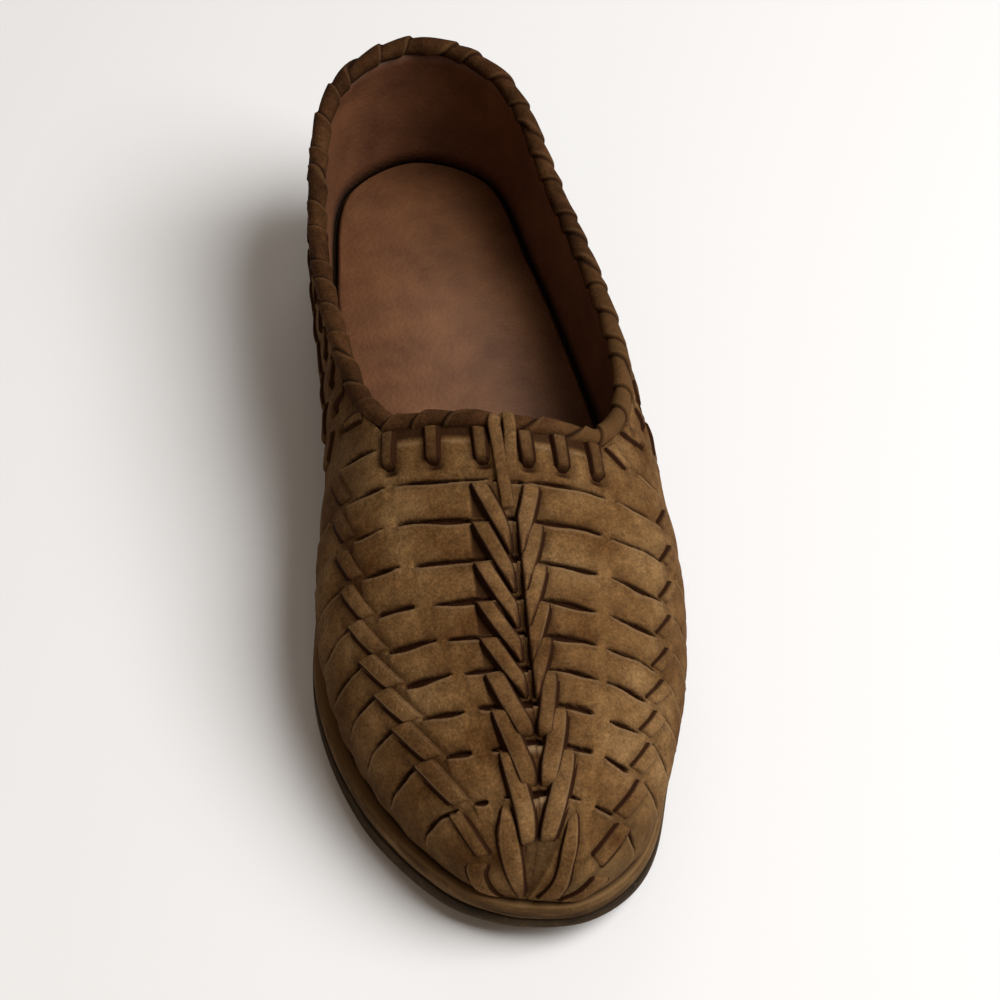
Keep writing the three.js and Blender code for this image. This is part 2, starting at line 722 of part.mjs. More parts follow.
const shoe = new THREE.Group();
shoe.position.set(-MIDDLE.x, -MIDDLE.y, 0);
shoe.add(piece('outsole', outsoleGeometry(), COLOURS.outsole));
shoe.add(piece('midsole', midsoleGeometry(), COLOURS.midsole));
shoe.add(piece('insole', insoleGeometry(), COLOURS.insole));
shoe.add(piece('upper', upperGeometry(), COLOURS.upper));
shoe.add(piece('collar_binding', bindingGeometry(), COLOURS.binding));

export default shoe;
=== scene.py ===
"""Woven leather slip-on flat, the wearer's left shoe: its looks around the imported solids.

Shape tables are in millimetres, with the toe to -Y and the outer side of the foot to +X.
A place on the skin has a station, which is 0 at the toe, 1 at the throat and 2 at the back,
and a level, which is 0 at the sole and 1 on the centre ridge.
"""
import math

import bmesh
import bpy
import numpy as np
from mathutils import Matrix, Vector


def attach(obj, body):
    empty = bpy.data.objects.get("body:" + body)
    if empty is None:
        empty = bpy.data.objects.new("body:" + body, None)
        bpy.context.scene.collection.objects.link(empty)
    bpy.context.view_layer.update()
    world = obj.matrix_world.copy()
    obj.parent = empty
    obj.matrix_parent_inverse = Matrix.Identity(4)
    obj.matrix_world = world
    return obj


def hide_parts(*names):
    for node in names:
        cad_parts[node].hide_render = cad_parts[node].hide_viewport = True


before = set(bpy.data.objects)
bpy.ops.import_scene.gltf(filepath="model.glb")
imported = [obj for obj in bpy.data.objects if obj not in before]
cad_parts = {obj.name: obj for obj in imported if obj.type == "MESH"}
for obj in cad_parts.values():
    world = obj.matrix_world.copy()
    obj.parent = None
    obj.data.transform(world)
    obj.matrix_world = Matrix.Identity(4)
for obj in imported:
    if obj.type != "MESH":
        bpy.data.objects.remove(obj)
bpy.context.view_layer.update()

MM = 0.001
# The point of the tables that lies at the origin of the frame.
MIDDLE = np.array([-0.597, -1.532, 0.0])
SEED = 11

# Feather line, where the upper meets the sole: x, y.
OUTLINE = {
    "toe": (-5.5, -118.1),
    "outer tip": (7, -118.8),
    "outer toe": (19.3, -110.9),
    "outer forefoot": (33.6, -81.5),
    "outer ball": (41, -42),
    "outer waist": (37, 15),
    "outer heel": (29, 70),
    "outer back": (21, 105),
    "back": (0, 116),
    "inner back": (-21, 105),
    "inner heel": (-29, 70),
    "inner waist": (-31.5, 15),
    "inner ball": (-41.2, -50),
    "inner forefoot": (-34.5, -84),
    "inner toe": (-20.5, -108.7),
    "inner tip": (-13, -114.9),
}
# Height of the feather line: y, z.
FEATHER = [(-118.1, 13.4), (-95, 10.8), (-60, 9.2), (-20, 9.5), (30, 13.5), (70, 17), (116, 18)]
# Centre ridge of the last: x, y, z. Behind the throat it only guides the quarters.
RIDGE = {
    "toe": (-5.5, -118.1, 13.4),
    "toe front": (-4.9, -117.4, 19.4),
    "toe top": (-2.7, -112.1, 28.2),
    "toe box": (-0.6, -97, 35),
    "ball": (0.5, -72, 42.5),
    "vamp": (2, -45, 49.5),
    "throat": (3, -20.5, 55.8),
    "ankle front": (2, 25, 78),
    "ankle": (0, 70, 94),
    "ankle back": (0, 100, 99),
}
# Lean of the wall: station, degrees.
LEAN = [(0, 16), (1, 18), (1.5, 14), (2, 5)]
# Section of the last, as shares: how high it follows the lean, and how far out its top stays flat.
RISE = 0.7
CROWN = 0.55
# Height of the wall's top edge: y, outer, inner.
COLLAR = [(-26, 50.6, 49.5), (-10, 45.6, 47.6), (5, 43, 44.5), (45, 42, 43), (85, 48, 48.5), (114, 56, 56)]
# Where the line of the throat meets the sole.
THROAT_FOOT_Y = {"outer": -26, "inner": -6}
# Thickness of the wall, and the space between the layers of the shoe.
WALL = 2.4
GAP = 0.3

# Length of the skin along the vamp and along a quarter, and up from the sole to the ridge.
VAMP_RUN = 116.0
QUARTER_RUN = 145.0
SKIN_RISE = 66.0

# Stations of the slits across the vamp, and of the row at the throat, which shows at the sides alone.
VAMP_ROWS = (0.231, 0.329, 0.409, 0.482, 0.553, 0.628, 0.711, 0.798, 0.886)
LAST_ROW = 0.968
ALL_ROWS = VAMP_ROWS + (LAST_ROW,)
QUARTER_STRAPS = 13
STRAP_LINES = [1 + strap / QUARTER_STRAPS for strap in range(1, QUARTER_STRAPS)]
# Level where each row is left uncut for a little, and half of that length: station, outer, inner, half.
BREAKS = [
    (0.23, 0.705, 0.775, 0.04),
    (0.41, 0.695, 0.78, 0.03),
    (0.56, 0.705, 0.73, 0.025),
    (0.7, 0.695, 0.66, 0.025),
    (0.8, 0.67, 0.6, 0.02),
    (0.89, 0.64, 0.6, 0.02),
]
# How far the rows lie back on each side, and the levels where the braid starts and where the side chain runs:
# at the toe, at the throat, and the station from which the second holds.
ROW_SHIFT = {"outer": (0.008, -0.002, 0.7), "inner": (-0.008, -0.005, 0.7)}
BRAID_EDGE = {"outer": (0.76, 0.89, 0.5), "inner": (0.83, 0.868, 0.9)}
CHAIN_LEVEL = {"outer": (0.505, 0.38, 0.9), "inner": (0.625, 0.4, 0.9)}

# Slits. Those of the quarters have their levels as shares of the wall's height.
SLIT_WIDTH = 0.85
SLIT_DEPTH = 1.2
LIP_RISE = 0.6
SIDE_SLIT_LOW = 0.15
CENTRE_LEVEL = 0.94
QUARTER_SLIT = {"low": 0.08, "high": 0.4, "width": 0.7, "slant": 0.03}
CORNER_SLIT = {"station": 0.976, "low": 0.36, "high": 0.51, "slant": 0.02}
CORNER_QUARTER_SLIT = {"station": 1.066, "low": 0.45, "high": 0.7}
# Where the columns of the skin stand across a slit, from its middle.
SLIT_COLUMNS = (-1.7, -1.35, -1.05, -0.8, -0.58, -0.38, -0.19, 0, 0.19, 0.38, 0.58, 0.8, 1.1, 1.5)
STRAP_CAMBER = 0.45
# Soft hills of the worn skin: their size and their height.
HILLS = ((11, 0.22), (4.5, 0.1))
HILL_COUNT = 64

# Rows of the skin's mesh: the level and the row of the opening's corner, the top row, and the lining's step.
CORNER = 0.65
CORNER_ROW = 72
TOP_ROW = 112
LINING_STEP = 8

# Kinds of lace. Lift is the height, and ends are the shares of the length over which it rises and tucks in.
# Pale cut edges, partly painted highlight, and dark lines of painted shadow are for the lower and the upper
# edge. Shade varies, and the added tint is always there: darker on tabs, painted shade on laces over
# quarters.
LACES = {
    "braid": {"lift": 1.5, "pale": (0.35, 0.2), "lines": (1.2, 1), "climb": 0.6},
    "leaf": {"lift": 1.3, "ends": (0.16, 0.08)},
    "toe strap": {"lift": 0.8, "ends": (0.12, 0.1)},
    "outer chain": {"lift": 0.85, "ends": (0.14, 0.12), "pale": (0.2, 0.15), "lines": (0.35, 0.95)},
    "inner chain": {"lift": 0.95, "ends": (0.14, 0.12), "pale": (0.5, 0.15), "lines": (1.5, 0.4)},
    "quarter": {"lift": 0.9, "ends": (0.16, 0.16), "pale": (0.4, 0.4)},
    "corner": {"lift": 0.9, "ends": (0.06, 0.16), "lines": (1.2, 0.8)},
    "throat tab": {"lift": 1.2, "ends": (0.03, 0.16), "shade": 0.3, "tint_and_shade": 0.28},
    "quarter tab": {"lift": 0.8, "ends": (0.03, 0.2), "shade": 0.3, "tint_and_shade": 0.28},
}
LACE_WIDTH = 3.7
LACE_THICK = 1.1
LACE_SHADOW = 0.3
LACE_POINTS = 26
# Places across a lace from its middle to its edge, and their share of its height.
LACE_ACROSS = (0, 0.55, 0.72, 0.85, 0.95, 1)
LACE_HEIGHT = (1, 0.95, 0.88, 0.76, 0.5, 0.05)
# Where across a lace its pale cut edge shows, and how wide; the pale edge is partly painted highlight.
CUT_EDGE = 0.72
CUT_WIDTH = 0.08
# How deep the ends of a lace are sunk, the width of the dark line of painted shadow along its edge, and the
# darkest tone.
LACE_SINK = 0.9
LACE_LINE = 0.95
DARK = 0.97

# Braid: how long a lace keeps out before it turns in, and how far from the ridge its outward edge ends and
# its inward edge keeps, with its width and its ends. The first rows are blunt.
BRAID_BEND = {"outer": 1.35, "inner": 1.1}
BLUNT_LACE = (3.5, 0.3, 4.7, (0.1, 0.1))
SHARP_LACE = (1.7, 0.7, 4.3, (0.1, 0.05))
BLUNT_ROWS = 4
# Stations where the braid and the wedges beside it end at the toe.
BRAID_TOE = 0.125
WEDGE_TOE = 0.12
# Depth of those wedges, which are painted dark with shade, at the toe and at the throat.
BRAID_GAP = {"outer": (0.1, 0.35), "inner": (0.35, 0.85)}
# Side chain: half of the levels that a lace crosses, its width, and how far behind its row it starts.
CHAIN_HALF = {"outer": 0.048, "inner": 0.05}
CHAIN_WIDTH = {"outer": 4.2, "inner": 5.8}
CHAIN_START = {"outer": 0.003, "inner": 0.016}
# Two straps each side of the toe: station and level along the lower edge and along the upper one.
TOE_STRAPS = {
    "inner": [[[(0.234, 0.48), (0.131, 0.49)], [(0.224, 0.58), (0.127, 0.63)]],
              [[(0.141, 0.36), (0.12, 0.04)], [(0.121, 0.6), (0.05, 0.06)]]],
    "outer": [[[(0.246, 0.36), (0.14, 0.36)], [(0.232, 0.48), (0.143, 0.53)]],
              [[(0.172, 0.17), (0.112, 0.04)], [(0.135, 0.36), (0.055, 0.12)]]],
}
# The leaf-shaped laces that end the braid at the toe, given like the straps.
TOE_LEAVES = {
    "inner": [[(0.238, 0.82), (0.198, 0.77), (0.167, 0.72), (0.107, 0.67), (0.048, 0.59), (0.012, 0.3)],
              [(0.234, 0.84), (0.16, 0.87), (0.117, 0.89), (0.07, 0.91), (0.04, 0.92), (0.016, 0.92)]],
    "outer": [[(0.236, 0.79), (0.188, 0.72), (0.155, 0.67), (0.118, 0.6), (0.085, 0.42), (0.058, 0.13)],
              [(0.222, 0.81), (0.137, 0.79), (0.1, 0.73), (0.073, 0.66), (0.04, 0.58), (0.013, 0.46)]],
}
# Two laces at the outer corner of the throat, given like the straps.
CORNER_LACES = [
    [[(1.04, 0.55), (1.036, 0.45)], [(1.064, 0.51), (1.06, 0.4)]],
    [[(1.0, 0.635), (0.963, 0.55)], [(1.018, 0.59), (0.982, 0.51)]],
]
# Corners of a quarter's lace, two lower and two upper: station past its slit, share of the wall's height.
QUARTER_LACE = ((0.01, 0.36), (0.07, 0.58), (0.01, 0.48), (0.07, 0.7))
# Whip tabs: their levels at the throat, the station of their ends, and their spacing along the quarters.
THROAT_TABS = {"outer": (0.925, 0.805, 0.68), "inner": (0.92, 0.76, 0.605)}
TAB_END = 0.922
TAB_PITCH = 1 / 14
TAB_STATIONS = np.arange(1.05, 1.985, TAB_PITCH)
TAB_SLANT = 0.035
TAB_FOOT = 0.77
TAB_TAPER = 0.85
# Holes that the tabs run into, painted dark with shade: half length along the foot and across it, and depth.
PIT_HALF = (1.0, 2.0625)
PIT_DEPTH = 1.2
# Where the two strips over the middle of the throat end.
STRIP_END = {"outer": 0.88, "inner": 0.812}

# Rolled edge: its radius, the height of its centre over the wall's edge, the length of a turn, the points
# round it, and how much its turns vary: size, waves, start. It passes wide of the wall's corner.
ROLL_RADIUS = 2.5
ROLL_SEAT = 1.8
ROLL_PITCH = 9.0
ROLL_AROUND = 36
UNEVEN_TURNS = ((0.14, 17, 0), (0.1, 29, 1))
CORNER_CLEAR = {"level": 0.07, "station": 0.04, "reach": 1.6}

# Dust on the toe, painted light on the rolled edge at the outer corner, painted shade along the foot of the
# wall, and painted shade on the quarters, which darkens the laces on them by a share.
TOE_DUST = {"outer": 0.35, "inner": 0.08}
ROLL_PAINTED_LIGHT = 0.4
LOW_WALL_SHADE = {"outer": 0.34, "inner": 0.62}
QUARTER_SHADE = {"outer": 0.12, "inner": 0.5}
LACE_SHARE = 0.7
# Shade between the leaves of the toe, in the seam of the braid and under the rolled edge.
TOE_WELL = 0.62
SEAM_SHADE = 0.75
SEAM_WIDTH = 0.9
UNDER_ROLL = 0.9
# The pale line on the vamp in front of the rolled edge.
THROAT_PALE = {"station": 0.967, "width": 0.45, "depth": 0.24}
# Painted shade beside the cuts and the laces: its depth, how far it reaches, and the skin's rise beside a
# lace.
HALO_DEPTH = 0.42
HALO_REACH = 1.7
HALO_RISE = 62.0

# How far the layers of the sole stand out past the feather line: y, outer, inner.
LEDGE = [(-119, 2, 2), (-108, 1.8, 2.6), (-85, 0.1, 3.4), (-60, 0.2, 3.2), (-30, 0.9, 2), (10, 1.4, 1.4),
         (60, 1.8, 1.8), (116, 2.2, 2.2)]
MIDSOLE_THICKNESS = 4.0
MIDSOLE_BULGE = 0.35
OUTSOLE_STEP = 0.6
TREAD_EDGE = 1.1
INSOLE_THICKNESS = 2.4
INSOLE_EDGE = WALL + 1.3
# Front of the heel, and the underside of the outsole: y, z.
BREAST_Y = 44
TREAD = [(-123, 6.6), (-105, 2.6), (-78, 0), (-28, 0), (5, 2.2), (28, 3.4), (BREAST_Y - 1.5, 3.4),
         (BREAST_Y, 0), (120, 0)]

# Camera, in degrees and millimetres.
VIEW = {"azimuth": -10.7, "elevation": 49.4, "roll": 2.5, "distance": 587.0, "field": 23.24}
AIM = (5.0, -11.1, 20.0)
# Lights: place and height aimed at in metres, size, power, colour.
LIGHTS = {
    "key": ((0.8, -0.27, 1.15), 0.03, 1.0, 25, (1, 1, 1)),
    "fill": ((-0.5, -1.1, 0.9), 0.03, 1.2, 1.0, (1, 0.66, 0.42)),
    "low": ((-1.1, -0.5, 0.4), 0.02, 0.8, 0.3, (1, 0.7, 0.45)),
    "back": ((0.2, 1.1, 0.9), 0.03, 0.9, 2, (1, 1, 1)),
}
WORLD_COLOUR = (1, 0.85, 0.7, 1)
WORLD_STRENGTH = 0.15
FLOOR_HALF = 4.0
FLOOR_Z = -0.0002

rng = np.random.default_rng(SEED)


# Curves and the last

def smoothstep(low, high, x):
    t = np.clip((x - low) / (high - low), 0, 1)
    return t * t * (3 - 2 * t)


def hump(x, width):
    return np.exp(-((x / width) ** 2))


def unit(vectors):
    return vectors / np.linalg.norm(vectors, axis=-1, keepdims=True)


def curve_through(rows, column=1):
    """A smooth curve through a short table that never overshoots its rows."""
    at = np.array([row[0] for row in rows], float)
    value = np.array([row[column] for row in rows], float)
    width = np.diff(at)
    slope = np.diff(value) / width
    before = np.concatenate([slope[:1], slope])
    after = np.concatenate([slope, slope[-1:]])
    same = before * after > 0
    tangent = np.where(same, 2 * before * after / np.where(same, before + after, 1), 0)

    def read(x):
        inside = np.clip(x, at[0], at[-1])
        i = np.clip(np.searchsorted(at, inside) - 1, 0, len(width) - 1)
        t = (inside - at[i]) / width[i]
        s = 1 - t
        ends = value[i] * s * s * (1 + 2 * t) + value[i + 1] * t * t * (1 + 2 * s)
        return ends + width[i] * t * s * (tangent[i] * s - tangent[i + 1] * t)

    return read


def centripetal(points, closed, per=40):
    """Centripetal Catmull-Rom curve through the points, as a dense line."""
    points = np.asarray(points, float)
    if closed:
        guided = np.concatenate([points[-1:], points, points[:2]])
    else:
        guided = np.concatenate([2 * points[:1] - points[1:2], points, 2 * points[-1:] - points[-2:-1]])
    t = (np.arange(per) / per)[:, None]
    line = []
    for p0, p1, p2, p3 in zip(guided, guided[1:], guided[2:], guided[3:]):
        d1, d2, d3 = (math.sqrt(np.linalg.norm(b - a)) for a, b in ((p0, p1), (p1, p2), (p2, p3)))
        m1 = ((p1 - p0) / d1 - (p2 - p0) / (d1 + d2) + (p2 - p1) / d2) * d2
        m2 = ((p2 - p1) / d2 - (p3 - p1) / (d2 + d3) + (p3 - p2) / d3) * d2
        line.append((2 * t**3 - 3 * t**2 + 1) * p1 + (t**3 - 2 * t**2 + t) * m1
                    + (3 * t**2 - 2 * t**3) * p2 + (t**3 - t**2) * m2)
    if not closed:
        line.append(points[-1:])
    return np.concatenate(line)


def run_along(line):
    steps = np.linalg.norm(np.diff(line, axis=0), axis=1)
    return np.concatenate([[0], np.cumsum(steps)])


def at_run(line, run, distance):
    return np.stack([np.interp(distance, run, column) for column in line.T], -1)


feather_z = curve_through(FEATHER)
tread_z = curve_through(TREAD)
lean_at = curve_through(LEAN)
breaks = {name: curve_through(BREAKS, column) for column, name in enumerate(("outer", "inner", "half"), 1)}


class Side:
    """One half of the last, from the toe to the back."""

    def __init__(self, name, sign, line, column):
        self.name = name
        self.sign = sign
        self.line = line
        self.run = run_along(line)
        rising = np.maximum.accumulate(line[:, 1]) + np.arange(len(line)) * 1e-9
        self.throat_run = np.interp(THROAT_FOOT_Y[name], rising, self.run)
        self.collar_z = curve_through(COLLAR, column)
        self.ledge = curve_through(LEDGE, column)


outline = centripetal(list(OUTLINE.values()), closed=True)
half = len(outline) // 2
OUTER = Side("outer", 1, outline[:half + 1], 1)
INNER = Side("inner", -1, np.concatenate([outline[half:], outline[:1]])[::-1], 2)
SIDES = (OUTER, INNER)
ridge_line = centripetal(list(RIDGE.values()), closed=False)
ridge_run = run_along(ridge_line)
ridge_throat = np.interp(RIDGE["throat"][1], ridge_line[:, 1], ridge_run)


def station_run(station, throat, total):
    return np.where(station <= 1, station * throat, throat + (station - 1) * (total - throat))


def feather_point(side, station):
    """Point of the feather line at a station, and the way out from it."""
    total = side.run[-1]
    run = station_run(station, side.throat_run, total)
    foot = at_run(side.line, side.run, run)
    along = at_run(side.line, side.run, np.minimum(run + 0.5, total))
    along = unit(along - at_run(side.line, side.run, np.maximum(run - 0.5, 0)))
    out = np.stack([along[..., 1], -along[..., 0], 0 * run], -1) * side.sign
    out = np.where((station >= 2)[..., None], np.array([0, 1.0, 0]), out)
    return np.concatenate([foot, feather_z(foot[..., 1])[..., None]], -1), out


def last_point(side, station, level):
    """Point of the last at a place."""
    station, level = np.broadcast_arrays(np.asarray(station, float), np.asarray(level, float))
    foot, out = feather_point(side, station)
    top = at_run(ridge_line, ridge_run, station_run(station, ridge_throat, ridge_run[-1]))
    height = np.abs(top[..., 2:] - foot[..., 2:]) * RISE
    lean = np.radians(lean_at(station))[..., None]
    lower = foot + out * np.sin(lean) * height + np.array([0, 0, 1.0]) * np.cos(lean) * height
    upper = top + (foot - top) * np.array([1, 1, 0]) * CROWN
    v = level[..., None]
    u = 1 - v
    return u**3 * foot + 3 * u * u * v * lower + 3 * u * v * v * upper + v**3 * top


def last_normal(side, station, level):
    station, level = np.broadcast_arrays(np.asarray(station, float), np.asarray(level, float))
    q = np.maximum(station, 0.01)
    along = last_point(side, np.minimum(q + 0.004, 2), level) - last_point(side, q - 0.004, level)
    inward = np.array([-side.sign, 0, 0.0])
    along = np.where((station >= 2)[..., None], inward, along)
    above = last_point(side, q, np.minimum(level + 0.01, 1))
    below = last_point(side, q, np.maximum(level - 0.01, 0))
    rising = np.where((level >= 1)[..., None], inward, above - below)
    normal = unit(np.cross(along, rising) * side.sign)
    return np.where((station <= 0)[..., None], np.array([0, -1.0, 0]), normal)


def collar_level(side, station):
    """Level at which a quarter's wall reaches its top edge."""
    station = np.asarray(station, float)
    low = np.zeros_like(station)
    high = np.ones_like(station)
    for _ in range(30):
        middle = (low + high) / 2
        point = last_point(side, station, middle)
        below = point[..., 2] < side.collar_z(point[..., 1])
        low = np.where(below, middle, low)
        high = np.where(below, high, middle)
    return low


def to_frame(points):
    return (np.asarray(points, float) - MIDDLE) * MM


def placed(name, data):
    obj = bpy.data.objects.new(name, data)
    bpy.context.collection.objects.link(obj)
    return obj


class Builder:
    """Collects points, tones, faces and material slots of one piece, and makes its mesh."""

    def __init__(self):
        self.points = []
        self.tones = []
        self.faces = []
        self.slots = []

    def add(self, points, tone=(0, 0, 0)):
        """Takes in points with their tones, and gives the index of each."""
        points = np.asarray(points, float)
        start = sum(len(part) for part in self.points)
        self.points.append(points.reshape(-1, 3))
        self.tones.append(np.broadcast_to(tone, points.shape).reshape(-1, 3))
        return start + np.arange(points.size // 3).reshape(points.shape[:-1])

    def face(self, corners, slot=0):
        self.faces.append([int(corner) for corner in corners])
        self.slots.append(slot)

    def sheet(self, index, slot=0):
        """Joins rows and columns of points."""
        corners = [index[:-1, :-1], index[1:, :-1], index[1:, 1:], index[:-1, 1:]]
        quads = np.stack(corners, -1).reshape(-1, 4)
        self.faces.extend(quads.tolist())
        self.slots.extend([slot] * len(quads))

    def zip(self, first, second):
        """Joins two lines of points by triangles, whatever the count of each."""
        i = j = 0
        ends = (len(first) - 1, len(second) - 1)
        while (i, j) != ends:
            ahead = (i + 1) / ends[0] <= (j + 1) / ends[1]
            if j == ends[1] or (i < ends[0] and ahead):
                self.face([first[i], second[j], first[i + 1]])
                i += 1
            else:
                self.face([first[i], second[j], second[j + 1]])
                j += 1

    def tube(self, rings, tone, closed=False):
        """Rings of points joined into a closed solid."""
        index = self.add(rings, tone)
        around = np.concatenate([index, index[:, :1]], 1)
        if closed:
            self.sheet(np.concatenate([around, around[:1]]))
        else:
            self.sheet(around)
            self.face(index[0])
            self.face(index[-1][::-1])

    def build(self, name, materials):
        """A smooth mesh that rides on the shoe."""
        points = np.concatenate(self.points)
        mesh = bpy.data.meshes.new(name)
        mesh.from_pydata(to_frame(points).tolist(), [], self.faces)
        layer = mesh.attributes.new("tone", "FLOAT_COLOR", "POINT")
        colour = np.ones((len(points), 4), np.float32)
        colour[:, :3] = np.concatenate(self.tones)
        layer.data.foreach_set("color", colour.ravel())
        for material in materials:
            mesh.materials.append(material)
        mesh.polygons.foreach_set("material_index", np.asarray(self.slots, np.int32))
        work = bmesh.new()
        work.from_mesh(mesh)
        bmesh.ops.remove_doubles(work, verts=work.verts, dist=2e-6)
        loose = [vertex for vertex in work.verts if not vertex.link_faces]
        bmesh.ops.delete(work, geom=loose, context="VERTS")
        bmesh.ops.recalc_face_normals(work, faces=work.faces)
        work.to_mesh(mesh)
        work.free()
        mesh.polygons.foreach_set("use_smooth", np.ones(len(mesh.polygons), bool))
        obj = placed(name, mesh)
        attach(obj, "root")
        return obj


# Materials

def nodes_of(name):
    material = bpy.data.materials.new(name)
    material.use_nodes = True
    tree = material.node_tree
    return material, tree, tree.nodes["Principled BSDF"]


def node(tree, kind, inputs=None, **settings):
    made = tree.nodes.new(kind)
    for key, value in settings.items():
        setattr(made, key, value)
    for key, value in (inputs or {}).items():
        if isinstance(value, bpy.types.NodeSocket):
            tree.links.new(value, made.inputs[key])
        else:
            made.inputs[key].default_value = value
    return made


def srgb(red, green, blue):
    """A colour on the 0 to 255 scale, as linear light."""
    return tuple(((c / 255 + 0.055) / 1.055) ** 2.4 for c in (red, green, blue)) + (1,)


def grey(value):
    return (value, value, value, 1)


def noise(tree, scale, detail, roughness, stretch=None):
    where = node(tree, "ShaderNodeTexCoord").outputs["Object"]
    if stretch:
        where = node(tree, "ShaderNodeMapping", {"Vector": where, "Scale": stretch}).outputs["Vector"]
    return node(tree, "ShaderNodeTexNoise", {
        "Vector": where, "Scale": scale, "Detail": detail, "Roughness": roughness}).outputs["Fac"]


def ramp(tree, factor, stops):
    made = node(tree, "ShaderNodeValToRGB", {"Fac": factor})
    elements = made.color_ramp.elements
    while len(elements) < len(stops):
        elements.new(0.5)
    for element, (position, colour) in zip(elements, stops):
        element.position = position
        element.color = colour
    return made.outputs["Color"]


def mix(tree, factor, first, second, blend="MIX"):
    inputs = {0: factor, 6: first, 7: second}
    return node(tree, "ShaderNodeMix", inputs, data_type="RGBA", blend_type=blend).outputs[2]


def bump(tree, height, strength, distance, normal=None):
    inputs = {"Height": height, "Strength": strength, "Distance": distance}
    if normal is not None:
        inputs["Normal"] = normal
    return node(tree, "ShaderNodeBump", inputs).outputs["Normal"]


def tone_channels(tree):
    """The painted tones of a piece: painted shade in its slits and shaded places, pale cut edges that are
    partly painted highlight, and dust, which on the rolled edge is painted light.
    """
    painted = node(tree, "ShaderNodeAttribute", attribute_name="tone")
    return node(tree, "ShaderNodeSeparateColor", {"Color": painted.outputs["Color"]}).outputs


def dress(tree, surface, colour, normal, roughness, specular=0.5):
    tree.links.new(colour, surface.inputs["Base Color"])
    tree.links.new(normal, surface.inputs["Normal"])
    surface.inputs["Roughness"].default_value = roughness
    surface.inputs["Specular IOR Level"].default_value = specular


def nubuck(name, dark, middle, light, shade, pale, dust_and_light):
    """Napped leather: cloudy and mottled colour, a fine nap, painted shade in slits and shaded places, pale
    cut edges that are partly painted highlight, and dust, which on the rolled edge is painted light.
    """
    material, tree, surface = nodes_of(name)
    colour = ramp(tree, noise(tree, 60, 5, 0.6), [(0.3, dark), (0.5, middle), (0.72, light)])
    mottle = ramp(tree, noise(tree, 330, 6, 0.72), [(0.3, grey(0.22)), (0.7, grey(0.78))])
    colour = mix(tree, 0.55, colour, mottle, "OVERLAY")
    fine = noise(tree, 1500, 3, 0.7)
    speckle = ramp(tree, fine, [(0.3, grey(0.2)), (0.7, grey(0.8))])
    colour = mix(tree, 0.55, colour, speckle, "OVERLAY")
    tones = tone_channels(tree)
    # Red paints shade, green pale cut edges that are partly painted highlight, and blue dust, which on the
    # rolled edge is painted light.
    for channel, tint in (("Blue", dust_and_light), ("Green", pale), ("Red", shade)):
        colour = mix(tree, tones[channel], colour, tint)
    nap = bump(tree, fine, 0.35, 0.0005)
    creases = bump(tree, noise(tree, 300, 5, 0.68), 0.45, 0.0012, nap)
    dress(tree, surface, colour, creases, 0.9, 0.05)
    return material


def smooth_leather(name, dark, light, roughness):
    material, tree, surface = nodes_of(name)
    colour = ramp(tree, noise(tree, 70, 5, 0.6), [(0.32, dark), (0.7, light)])
    where = node(tree, "ShaderNodeTexCoord").outputs["Object"]
    grain = node(tree, "ShaderNodeTexVoronoi", {"Vector": where, "Scale": 900}, feature="F1")
    dress(tree, surface, colour, bump(tree, grain.outputs["Distance"], 0.18, 0.0005), roughness)
    return material


def sole_edge(name, dark, middle, light, streak):
    """Stacked or moulded edge: streaks along the layer, scuffs and dust, with painted shade and painted
    highlight from the piece's tones.
    """
    material, tree, surface = nodes_of(name)
    along = noise(tree, 60, 6, 0.65, (1, 1, streak))
    colour = ramp(tree, along, [(0.3, dark), (0.5, middle), (0.75, light)])
    scuffs = noise(tree, 350, 4, 0.7)
    colour = mix(tree, ramp(tree, scuffs, [(0.56, grey(0)), (0.75, grey(0.5))]), colour, light)
    tones = tone_channels(tree)
    for channel, tint in (("Green", light), ("Red", dark)):
        colour = mix(tree, tones[channel], colour, tint)
    rough = bump(tree, scuffs, 0.25, 0.0008)
    dress(tree, surface, colour, bump(tree, along, 0.2, 0.001, rough), 0.85, 0.1)
    return material


UPPER_SKIN = nubuck("upper_nubuck", srgb(83, 54, 26), srgb(111, 81, 48), srgb(136, 105, 68),
                    srgb(42, 21, 9), srgb(178, 146, 108), srgb(118, 98, 66))
LACE_SKIN = nubuck("lace_nubuck", srgb(83, 55, 28), srgb(109, 79, 47), srgb(132, 101, 65),
                   srgb(42, 21, 9), srgb(186, 154, 116), srgb(116, 94, 62))
ROLL_SKIN = nubuck("roll_leather", srgb(43, 25, 12), srgb(61, 38, 20), srgb(83, 55, 32),
                   srgb(24, 10, 4), srgb(118, 88, 58), srgb(110, 80, 47))
LINING = smooth_leather("lining_leather", srgb(84, 48, 27), srgb(112, 70, 42), 0.6)
FOOTBED = smooth_leather("footbed_leather", srgb(92, 56, 32), srgb(122, 80, 48), 0.55)
MIDSOLE_EDGE = sole_edge("midsole_leather", srgb(36, 24, 12), srgb(80, 57, 33), srgb(122, 94, 60), 6)
OUTSOLE_EDGE = sole_edge("outsole_rubber", srgb(33, 25, 16), srgb(56, 43, 29), srgb(88, 70, 48), 3)


# Upper wall

def ramp_at(table, side, station):
    """A value that changes from the toe to the throat along the vamp."""
    toe, throat, until = table[side.name]
    t = np.clip((station - VAMP_ROWS[0]) / (until - VAMP_ROWS[0]), 0, 1)
    return toe + (throat - toe) * t


def bent(side, station, level):
    """A row line's own path: it lies a little back or forward on each side, and forward low on the wall."""
    window = smoothstep(0, 0.12, station) * (1 - smoothstep(0.9, 1, station))
    low = np.maximum(0.45 - level, 0)
    forward = 0.08 * low * low / (low + 0.06)
    shift = ramp_at(ROW_SHIFT, side, station) * (1 - smoothstep(0.86, 1, level)) - forward
    return station + shift * window


